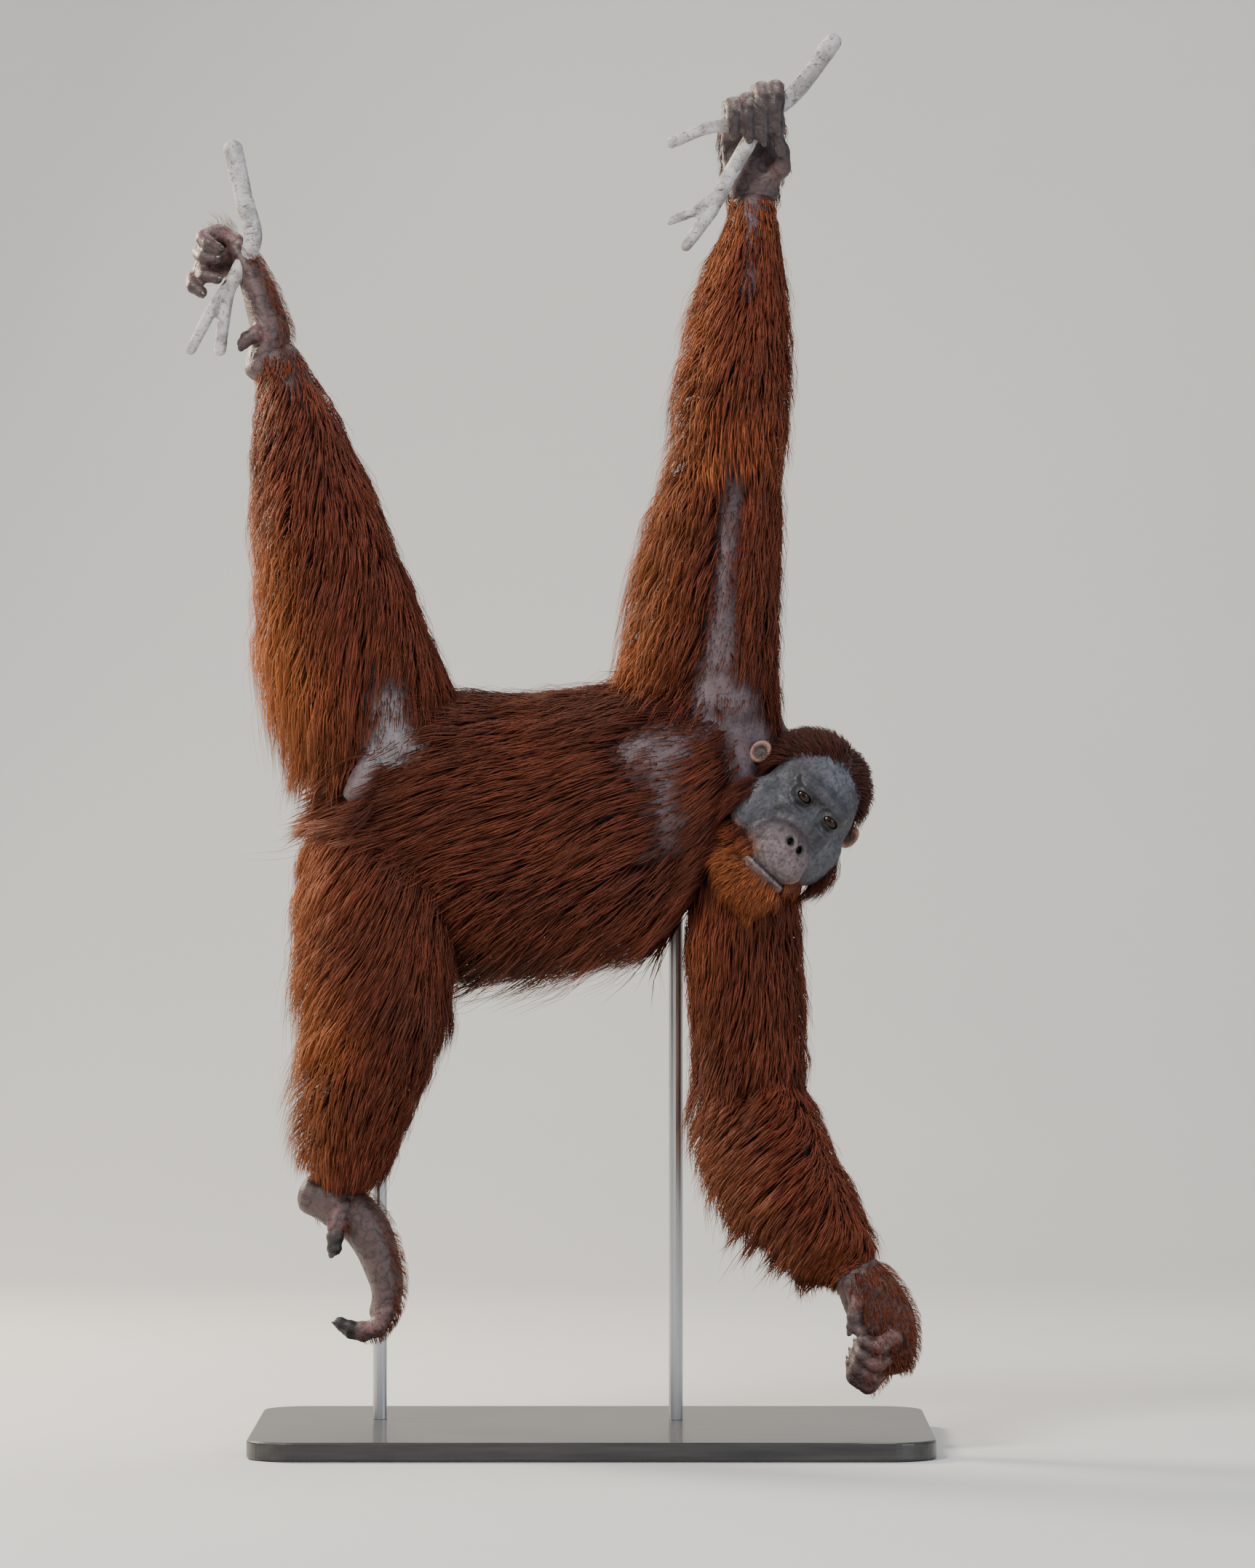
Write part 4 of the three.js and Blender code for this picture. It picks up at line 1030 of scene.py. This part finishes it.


# For each part: tufts, length of hair, the way it lies, its tone from dark to orange, and how far painted back
# light turns the side towards the back light orange
COAT = {
    "trunk": dict(count=17500, length=(0.070, 0.120), lie=(-1.0, 0.0, -0.42), tone=0.14, painted_backlight=0.15),
    "neck": dict(count=1800, length=(0.030, 0.055), lie=(-0.7, 0.1, -0.5), tone=0.12, painted_backlight=0.1),
    "upper_arm_right": dict(count=7200, length=(0.070, 0.120), lie=(-0.26, 0.05, -1.0), tone=0.26, painted_backlight=0.45),
    "forearm_right": dict(count=7000, length=(0.050, 0.100), lie=(-0.16, 0.04, -1.0), tone=0.46, painted_backlight=0.4),
    "upper_arm_left": dict(count=6200, length=(0.070, 0.110), lie=(-0.05, 0.02, -1.0), tone=0.22, painted_backlight=0.2),
    "forearm_left": dict(count=7400, length=(0.050, 0.095), lie=(-0.55, 0.2, -0.80), tone=0.36, painted_backlight=0.25),
    "thigh_right": dict(count=6600, length=(0.075, 0.125), lie=(-0.2, 0.05, -1.0), tone=0.30, painted_backlight=0.6),
    "shank_right": dict(count=4600, length=(0.050, 0.100), lie=(-0.12, 0.05, -1.0), tone=0.30, painted_backlight=0.5),
    "thigh_left": dict(count=6600, length=(0.075, 0.125), lie=(-0.42, 0.05, -1.0), tone=0.24, painted_backlight=0.75),
    "shank_left": dict(count=5600, length=(0.045, 0.090), lie=(-0.24, 0.05, -1.0), tone=0.34, painted_backlight=0.65),
}


def hair_colours(share, pale, sizes, rng):
    """Root and tip colours: dark to red to orange by share, each tuft a little apart."""
    dark, red, orange = (np.array(c) for c in (sizes.dark, sizes.red, sizes.orange))
    share = np.clip(share + rng.normal(0, 0.09, len(share)), 0, 1)[:, None]
    low = np.where(share < 0.5, dark + (red - dark) * share * 2, red + (orange - red) * (share - 0.5) * 2)
    level = rng.uniform(0.7, 1.3, len(share))[:, None]
    tip = low + (orange - low) * np.clip(0.10 + pale, 0, 1)[:, None]
    return low * 0.75 * level, tip * level


def rooted(tree, loft, t, turn, reach):
    """The skin's points under a loft's points, with their normals and which of them are open skin."""
    guess = loft.surface(t, turn)
    near = [tree.find_nearest(Vector(p), 0.03) for p in guess]
    found = np.array([n[0] is not None for n in near])
    root = np.array([tuple(n[0]) if n[0] is not None else (0, 0, 0) for n in near])
    normal = np.array([tuple(n[1]) if n[0] is not None else (0, 0, 1) for n in near])
    radial = unit(guess - loft.at(loft.centre, t))
    is_open = found & (np.linalg.norm(root - guess, axis=1) < reach)
    is_open &= np.sum(radial * normal, axis=1) > 0.3
    return root, normal, is_open


def swayed(root, strength):
    return np.array([noise.noise_vector(Vector(p) * 9.0) for p in root]) * strength


class ORANGUTAN_OT_coat(bpy.types.Operator):
    """The long coat, in tufts that follow its lie over every part but the bare skin."""
    bl_idname = "orangutan.coat"
    bl_label = "Coat"

    def execute(self, context):
        sizes = context.scene.orangutan_coat
        material = coat_material(sizes)
        bm = bmesh.new()
        bm.from_mesh(bpy.data.objects["skin"].data)
        tree = BVHTree.FromBMesh(bm)
        bm.free()
        for index, (name, coat) in enumerate(COAT.items()):
            rng = np.random.default_rng(100 + index)
            loft = LOFTS[name]
            wanted = int(coat["count"] * sizes.density)
            t = rng.uniform(0.0, 1.0, wanted * 3)
            turn = rng.uniform(-math.pi, math.pi, wanted * 3)
            root, normal, keep = rooted(tree, loft, t, turn, 0.013)
            depth = np.linalg.norm(loft.surface(t, turn, 1.0) - loft.surface(t, turn), axis=1)
            bare = bareness(root, normal)
            keep &= rng.uniform(0, 1, len(t)) > bare * 0.9
            head = in_head(root)
            keep &= np.linalg.norm(head - np.array([0, -50, -20]), axis=1) > 66
            keep &= np.linalg.norm(head - np.array([-78, -78, 10]), axis=1) > 38
            chosen = np.flatnonzero(keep)[:wanted]
            t, turn, root, normal, depth, bare = (a[chosen] for a in (t, turn, root, normal, depth, bare))
            count = len(root)
            low, high = coat["length"]
            fringe = smoothstep(0.03, 0.08, depth)
            long_end = np.ones(count)
            if name.startswith(("forearm", "shank")):
                long_end = 0.22 + 0.78 * smoothstep(1.0, 0.72, t)
            stray = (rng.uniform(0, 1, count) < 0.07) * 1.0
            length = rng.uniform(low, high, count) * (0.75 + 0.5 * fringe) * long_end
            length *= (1 - 0.72 * bare) * (1 + 0.35 * stray)
            lift = depth * rng.uniform(0.7, 1.05, count) * long_end * (1 - 0.8 * bare) + 0.002
            lift += stray * 0.012 * long_end
            # Painted back light: hair on the side towards the back light is made more orange with paler tips, most
            # of all on the deep fringes
            lit = smoothstep(0.05, 0.85, -normal[:, 0]) * (0.5 + 0.5 * fringe)
            patch = np.array([noise.noise(Vector(p) * 7.0) for p in root])
            share = coat["tone"] + coat["painted_backlight"] * lit + 0.16 * patch + 0.12 * (1 - long_end)
            colour, tip = hair_colours(share, 0.30 * lit + 0.12 * fringe + 0.1 * stray, sizes, rng)
            width = sizes.width * (1 - 0.55 * bare) * (0.55 + 0.45 * long_end) * (1 - 0.4 * stray)
            under = smoothstep(-0.25, -0.85, normal[:, 2]) * (name == "trunk")
            lie = unit(np.tile(np.array(coat["lie"]), (count, 1))) + swayed(root, 0.34)
            lie += under[:, None] * np.array([0.1, 0, -0.9])
            length *= 1 + under * (0.45 + 0.5 * stray)
            tufts = Tufts()
            tufts.add(root, normal, lie, length, lift, width, colour, tip,
                      chart(index, turn / (2 * math.pi) + 0.5, t), wave=0.02, rng=rng, clump=0.5)
            tufts.write(f"coat_{name}", material)
        self.hands_and_feet(tree, sizes, material)
        return {"FINISHED"}

    @staticmethod
    def hands_and_feet(tree, sizes, material):
        """Short hair on the backs of hands, feet and digits, and a pale tuft on the right toes."""
        rng = np.random.default_rng(55)
        tufts = Tufts()
        for index, (name, stations) in enumerate(PALMS.items()):
            lofts = [(Loft(stations), 2000, 0.0155, 1.0)]
            lofts += [(digit_loft(*digit), 130, 0.008, 0.5) for digit in DIGITS[name]]
            side = unit(np.array([HAIRY_SIDE[name]]))[0]
            lie = np.array([0.05, 0.05, -1.0]) if name.endswith("right") else np.array([0.25, 0.1, -1.0])
            for number, (loft, wanted, long, until) in enumerate(lofts):
                t = rng.uniform(0.0, until, wanted * 2)
                turn = rng.uniform(-math.pi, math.pi, wanted * 2)
                root, normal, keep = rooted(tree, loft, t, turn, 0.006)
                facing = normal @ side
                keep &= rng.uniform(0.0, 0.6, len(t)) < facing
                root, normal, facing, t, turn = (a[keep] for a in (root, normal, facing, t, turn))
                count = len(root)
                if not count:
                    continue
                pale = float(name == "foot_right" and number > 0)
                length = long * rng.uniform(0.7, 1.5, count) * (1.25 - 0.6 * t / until) * (1 + 1.6 * pale)
                way = unit(np.tile(lie, (count, 1))) * (1 - pale) + np.array([-0.8, 0.1, 0.5]) * pale
                colour, tip = hair_colours(0.30 + 0.15 * facing, np.full(count, 0.05), sizes, rng)
                if pale:
                    colour, tip = colour * 0.4 + 0.14, tip * 0.3 + (0.34, 0.30, 0.27)
                across = (number + turn / (2 * math.pi) + 0.5) / 6
                tufts.add(root, normal, way + swayed(root, 0.4), length, 0.004 + 0.5 * length * (0.3 + pale * 0.4),
                          np.full(count, 0.00085), colour, tip, chart(11 + index, across, t), rng=rng,
                          clump=0.3, wave=0.03)
        tufts.write("coat_hands_feet", material)


class ORANGUTAN_OT_head_hair(bpy.types.Operator):
    """Hair of the crown, temples, cheeks and beard, shorter and finer than the coat."""
    bl_idname = "orangutan.head_hair"
    bl_label = "Head hair"

    def execute(self, context):
        sizes = context.scene.orangutan_coat
        skin = bpy.data.objects["skin"]
        rng = np.random.default_rng(7)
        root, normal = self.sample(skin.data, skin["head_start"], int(27000 * sizes.density), rng)
        head = in_head(root)
        normal_head = normal @ HEAD_AXES
        bare = face_mask(head)
        keep = (rng.uniform(0, 1, len(head)) > bare) & (head[:, 1] > -172) & (head[:, 2] > -165)
        keep &= np.sum((head - np.array([0, -60, -20])) * normal_head, axis=1) > 0
        keep &= np.linalg.norm(np.abs(head) - [78, 82, 4], axis=1) > 19
        lip = (np.abs(head[:, 2] + 102) < 5.5) & (np.abs(head[:, 0]) < 44) & (head[:, 1] > 0)
        keep &= ~lip
        root, normal, head, bare = root[keep], normal[keep], head[keep], bare[keep]
        x, y, z = head[:, 0], head[:, 1], head[:, 2]
        wide = np.abs(x)
        count = len(x)
        jaw = smoothstep(-70, -96, z) * smoothstep(-62, -40, y)
        temple = smoothstep(40, 10, z) * (1 - jaw)
        ones = np.ones(count)
        back = np.stack([0.35 * np.sign(x), -ones, -0.1 * ones], axis=1)
        behind_ear = smoothstep(-80, -94, y)
        down = np.stack([0.15 * np.sign(x), -0.1 - 0.9 * behind_ear, -ones], axis=1)
        beard = np.stack([0.75 * x / 50, -0.25 * ones, -0.8 * ones], axis=1)
        lie = back * (1 - temple - jaw)[:, None] + down * temple[:, None] + beard * jaw[:, None]
        lie = unit(lie @ HEAD_AXES.T) + np.array([0, 0, -0.30]) + swayed(root, 0.3)
        chin = smoothstep(-10, 22, y) * jaw
        base = 0.034 * (1 - temple - jaw) + 0.044 * temple + (0.030 - 0.015 * chin) * jaw
        length = base * rng.uniform(0.65, 1.25, count) * (1 - 0.55 * smoothstep(0, 0.9, bare))
        lift = (0.007 + 0.003 * jaw - 0.002 * chin) * rng.uniform(0.2, 1.5, count)
        share = 0.10 + 0.18 * temple + 0.60 * jaw - 0.18 * chin * rng.uniform(0, 1, count)
        colour, tip = hair_colours(share, -0.02 + 0.30 * jaw, sizes, rng)
        level = (0.60 + 0.20 * temple + 0.35 * jaw) * rng.uniform(0.6, 1.4, count)
        colour, tip = colour * level[:, None], tip * level[:, None]
        width = sizes.width * (0.5 - 0.05 * chin)
        across = np.arctan2(x, -(y + 60)) / (2 * math.pi) + 0.5
        tufts = Tufts()
        tufts.add(root, normal, lie, length, lift, width, colour, tip, chart(10, across, (z + 170) / 270),
                  wave=0.03, rng=rng, clump=0.35)
        tufts.write("coat_head", bpy.data.materials["hair"])
        return {"FINISHED"}

    @staticmethod
    def sample(mesh, start, count, rng):
        """Points spread evenly by area over the head's skin, with their normals."""
        mesh.calc_loop_triangles()
        corners = np.empty(len(mesh.loop_triangles) * 3, dtype=np.int32)
        mesh.loop_triangles.foreach_get("vertices", corners)
        corners = corners.reshape(-1, 3)
        points = vertex_array(mesh)
        corners = corners[corners.min(axis=1) >= start]
        a, b, c = (points[corners[:, k]] for k in range(3))
        cross = np.cross(b - a, c - a)
        area = np.linalg.norm(cross, axis=1)
        pick = rng.choice(len(corners), count, p=area / area.sum())
        u, v = rng.uniform(0, 1, (2, count))
        flip = u + v > 1
        u[flip], v[flip] = 1 - u[flip], 1 - v[flip]
        root = a[pick] + (b - a)[pick] * u[:, None] + (c - a)[pick] * v[:, None]
        return root, unit(cross[pick])


class ORANGUTAN_OT_eyes(bpy.types.Operator):
    """Two wet dark eyes in their sockets."""
    bl_idname = "orangutan.eyes"
    bl_label = "Eyes"

    def execute(self, context):
        material = eye_material()
        for side, name in ((-1, "eye_right"), (1, "eye_left")):
            bm = bmesh.new()
            ellipsoid(bm, (EYE_RADIUS, EYE_RADIUS, EYE_RADIUS), (side * EYE_X, EYE_DEPTH, 0), 48)
            ball = from_bmesh(f"{name}_ball", bm, material)
            head = in_head(vertex_array(ball.data)) - np.array([side * EYE_X, EYE_DEPTH, 0])
            gaze = unit(np.array([[-0.18, 1.0, 0.04]]))[0]
            angle = np.arccos(np.clip(unit(head) @ gaze, -1, 1)) / (math.pi / 2)
            ring = ball.data.attributes.new("ring", "FLOAT", "POINT")
            ring.data.foreach_set("value", np.clip(angle, 0, 1).astype(np.float32))
            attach(ball, "root")
            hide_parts(name)
        return {"FINISHED"}


class ORANGUTAN_OT_ears(bpy.types.Operator):
    """Small round ears with a folded rim and a hollow cup."""
    bl_idname = "orangutan.ears"
    bl_label = "Ears"

    def execute(self, context):
        material = bpy.data.materials["bare_skin"]
        for side, name in ((-1, "ear_right"), (1, "ear_left")):
            bm = bmesh.new()
            made = bmesh.ops.create_uvsphere(bm, u_segments=40, v_segments=24, radius=1.0)["verts"]
            for vertex in made:
                x, y, z = vertex.co
                rim = math.hypot(y, z)
                hollow = smoothstep(0.84, 0.52, rim) if x > 0 else 0.0
                fold = 0.5 * math.exp(-((rim - 0.55) / 0.1) ** 2) * smoothstep(-0.2, 0.4, z) if x > 0 else 0.0
                thick = 5.5 * (x - hollow * 1.1 + fold)
                across = 13.5 * y
                vertex.co = HEAD @ Vector((side * (82 + 0.5 * thick + 0.86 * across),
                                           -80 + 0.86 * thick - 0.5 * across, 4 + 15.5 * z))
            bmesh.ops.recalc_face_normals(bm, faces=bm.faces[:])
            ear = from_bmesh(f"{name}_cup", bm, material)
            local = in_head(vertex_array(ear.data)) - np.array([side * 82, -80, 4])
            local[:, 0] *= side
            rim = np.hypot((0.86 * local[:, 0] - 0.5 * local[:, 1]) / 13.5, local[:, 2] / 15.5)
            # Painted shade: the hollow of the cup is darkened inside the rim
            colours = np.tile(np.array([0.26, 0.135, 0.10]), (len(local), 1))
            point_colours(ear.data, "skin", blend(colours, (0.03, 0.017, 0.015), smoothstep(0.72, 0.5, rim)))
            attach(ear, "root")
            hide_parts(name)
        return {"FINISHED"}


class ORANGUTAN_OT_nails(bpy.types.Operator):
    """A dark curved nail on the end of each finger and toe."""
    bl_idname = "orangutan.nails"
    bl_label = "Nails"

    def execute(self, context):
        bm = bmesh.new()
        palm_centres = {name: np.mean([place(s[0]) for s in stations], axis=0)
                        for name, stations in PALMS.items()}
        for name, digits in DIGITS.items():
            for path, radii in digits:
                tip, before = place(path[-1]), place(path[-2])
                along = unit((tip - before)[None])[0]
                away = tip - palm_centres[name]
                away = unit((away - along * (away @ along))[None])[0]
                across = np.cross(along, away)
                radius = radii[-1] * MM
                centre = tip + along * radius * 0.35 + away * radius * 0.62
                made = bmesh.ops.create_uvsphere(bm, u_segments=16, v_segments=10, radius=1.0)["verts"]
                for vertex in made:
                    x, y, z = vertex.co
                    bow = 0.25 * x * x
                    vertex.co = Vector(centre + across * x * radius * 0.72 + along * y * radius * 0.95
                                       + away * (z * 0.22 - bow) * radius)
        nails = from_bmesh("nails", bm, nail_material())
        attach(nails, "root")
        return {"FINISHED"}


class ORANGUTAN_OT_perches(bpy.types.Operator):
    """Short cut lengths of pale branch in the right hand and right foot."""
    bl_idname = "orangutan.perches"
    bl_label = "Perches"

    def execute(self, context):
        material = bark_material()
        for name, limbs in BRANCHES.items():
            bm = bmesh.new()
            for path, radii in limbs:
                digit_loft(path, radii).mesh(bm, 20, 40)
            branch = from_bmesh(f"{name}_bark", bm, material)
            remeshed(branch, 0.0022, 3)
            points = vertex_array(branch.data)
            normals = np.empty(points.size)
            branch.data.vertices.foreach_get("normal", normals)
            rough = np.array([noise.noise(Vector(p) * 55.0) + 0.5 * noise.noise(Vector(p) * 160.0)
                              for p in points])
            set_vertices(branch.data, points + normals.reshape(-1, 3) * (rough * 0.0007)[:, None])
            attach(branch, "root")
            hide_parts(name)
        return {"FINISHED"}


class ORANGUTAN_OT_stand(bpy.types.Operator):
    """A lacquered base with softened edges, and two steel rods."""
    bl_idname = "orangutan.stand"
    bl_label = "Stand"

    def execute(self, context):
        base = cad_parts["stand_base"]
        bm = bmesh.new()
        bm.from_mesh(base.data)
        bmesh.ops.remove_doubles(bm, verts=bm.verts[:], dist=1e-5)
        bmesh.ops.dissolve_limit(bm, angle_limit=math.radians(1), verts=bm.verts[:], edges=bm.edges[:])
        rim = [e for e in bm.edges if abs(e.verts[0].co.z - e.verts[1].co.z) < 1e-5]
        bmesh.ops.bevel(bm, geom=rim, offset=0.0035, offset_type="OFFSET", segments=4, profile=0.5,
                        affect="EDGES", material=-1)
        bmesh.ops.recalc_face_normals(bm, faces=bm.faces[:])
        plate = from_bmesh("base_plate", bm, lacquer_material(), smooth=False)
        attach(plate, "root")
        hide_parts("stand_base")
        steel = steel_material()
        for name in ("stand_rod_hip", "stand_rod_chest"):
            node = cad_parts[name]
            node.data.materials.clear()
            node.data.materials.append(steel)
        return {"FINISHED"}


class ORANGUTAN_OT_stage(bpy.types.Operator):
    """Pale floor that curves up behind, soft lights and the camera at the photo's view."""
    bl_idname = "orangutan.stage"
    bl_label = "Stage"

    def execute(self, context):
        bm = bmesh.new()
        radius, back, top, wide = 1.5, 3.2, 6.0, 9.0
        profile = [Vector((-wide, -14.0, 0)), Vector((-wide, back, 0))]
        profile += [Vector((-wide, back + radius * math.sin(a), radius - radius * math.cos(a)))
                    for a in np.linspace(0, math.pi / 2, 14)[1:]]
        profile.append(Vector((-wide, back + radius, top)))
        made = [bm.verts.new(p) for p in profile]
        edges = [bm.edges.new(pair) for pair in zip(made, made[1:])]
        extruded = bmesh.ops.extrude_edge_only(bm, edges=edges)["geom"]
        bmesh.ops.translate(bm, verts=[g for g in extruded if isinstance(g, bmesh.types.BMVert)],
                            vec=(2 * wide, 0, 0))
        bmesh.ops.recalc_face_normals(bm, faces=bm.faces[:])
        bm.faces.ensure_lookup_table()
        if bm.faces[0].normal.z < 0:
            bmesh.ops.reverse_faces(bm, faces=bm.faces[:])
        floor = from_bmesh("floor", bm, floor_material())
        floor.location.z = -0.0005

        world = bpy.data.worlds.new("studio")
        world.use_nodes = True
        background = world.node_tree.nodes["Background"]
        background.inputs["Color"].default_value = (0.80, 0.86, 0.93, 1.0)
        background.inputs["Strength"].default_value = 0.42
        context.scene.world = world
        for name, at, aim, size, power, colour in (
                ("key", (-2.6, -3.4, 4.2), (0, 0, 1.0), 1.8, 300, (1.0, 0.96, 0.9)),
                ("fill", (3.6, -3.4, 1.6), (0, 0, 0.9), 2.6, 90, (0.85, 0.92, 1.0)),
                ("rim", (-2.8, 2.0, 2.4), (-0.1, 0, 0.9), 1.2, 260, (1.0, 0.86, 0.66)),
                ("top", (0.2, 1.6, 4.4), (0, 0, 1.0), 1.8, 80, (1.0, 0.95, 0.85))):
            light = bpy.data.lights.new(name, "AREA")
            light.shape = "DISK"
            light.size = size
            light.energy = power
            light.color = colour
            lamp = bpy.data.objects.new(name, light)
            lamp.location = at
            lamp.rotation_euler = (Vector(aim) - Vector(at)).to_track_quat("-Z", "Y").to_euler()
            context.scene.collection.objects.link(lamp)

        camera = bpy.data.cameras.new("camera")
        camera.sensor_fit = "AUTO"
        camera.sensor_width = 36.0
        camera.lens = 36.0 * CAMERA_DISTANCE / FRAME_HEIGHT
        viewer = bpy.data.objects.new("camera", camera)
        viewer.location = (SPECIMEN_SHIFT[0] * MM, -CAMERA_DISTANCE, FRAME_MIDDLE)
        viewer.rotation_euler = (math.pi / 2, 0, 0)
        context.scene.collection.objects.link(viewer)
        context.scene.camera = viewer
        return {"FINISHED"}


# The photo's frame is 2.0 m high at the animal, and its middle is this high above the floor
CAMERA_DISTANCE = 10.0
FRAME_HEIGHT = 2.0
FRAME_MIDDLE = 0.84


class ORANGUTAN_PT_panel(bpy.types.Panel):
    """Lists the pieces and their sizes."""
    bl_idname = "ORANGUTAN_PT_panel"
    bl_label = "Orangutan"
    bl_space_type = "VIEW_3D"
    bl_region_type = "UI"
    bl_category = "Orangutan"

    def draw(self, context):
        for group in (context.scene.orangutan_skin, context.scene.orangutan_coat):
            for key in group.bl_rna.properties.keys():
                if key not in ("rna_type", "name"):
                    self.layout.prop(group, key)
        for step in STEPS:
            self.layout.operator(step.bl_idname)


STEPS = (ORANGUTAN_OT_skin, ORANGUTAN_OT_coat, ORANGUTAN_OT_head_hair, ORANGUTAN_OT_eyes, ORANGUTAN_OT_ears,
         ORANGUTAN_OT_nails, ORANGUTAN_OT_perches, ORANGUTAN_OT_stand, ORANGUTAN_OT_stage)
CLASSES = (SkinSizes, CoatSizes, *STEPS, ORANGUTAN_PT_panel)


def register():
    for cls in CLASSES:
        bpy.utils.register_class(cls)
    bpy.types.Scene.orangutan_skin = bpy.props.PointerProperty(type=SkinSizes)
    bpy.types.Scene.orangutan_coat = bpy.props.PointerProperty(type=CoatSizes)


def unregister():
    del bpy.types.Scene.orangutan_coat
    del bpy.types.Scene.orangutan_skin
    for cls in reversed(CLASSES):
        bpy.utils.unregister_class(cls)


def main():
    register()
    for step in STEPS:
        group, name = step.bl_idname.split(".")
        getattr(getattr(bpy.ops, group), name)()


if __name__ == "__main__":
    main()
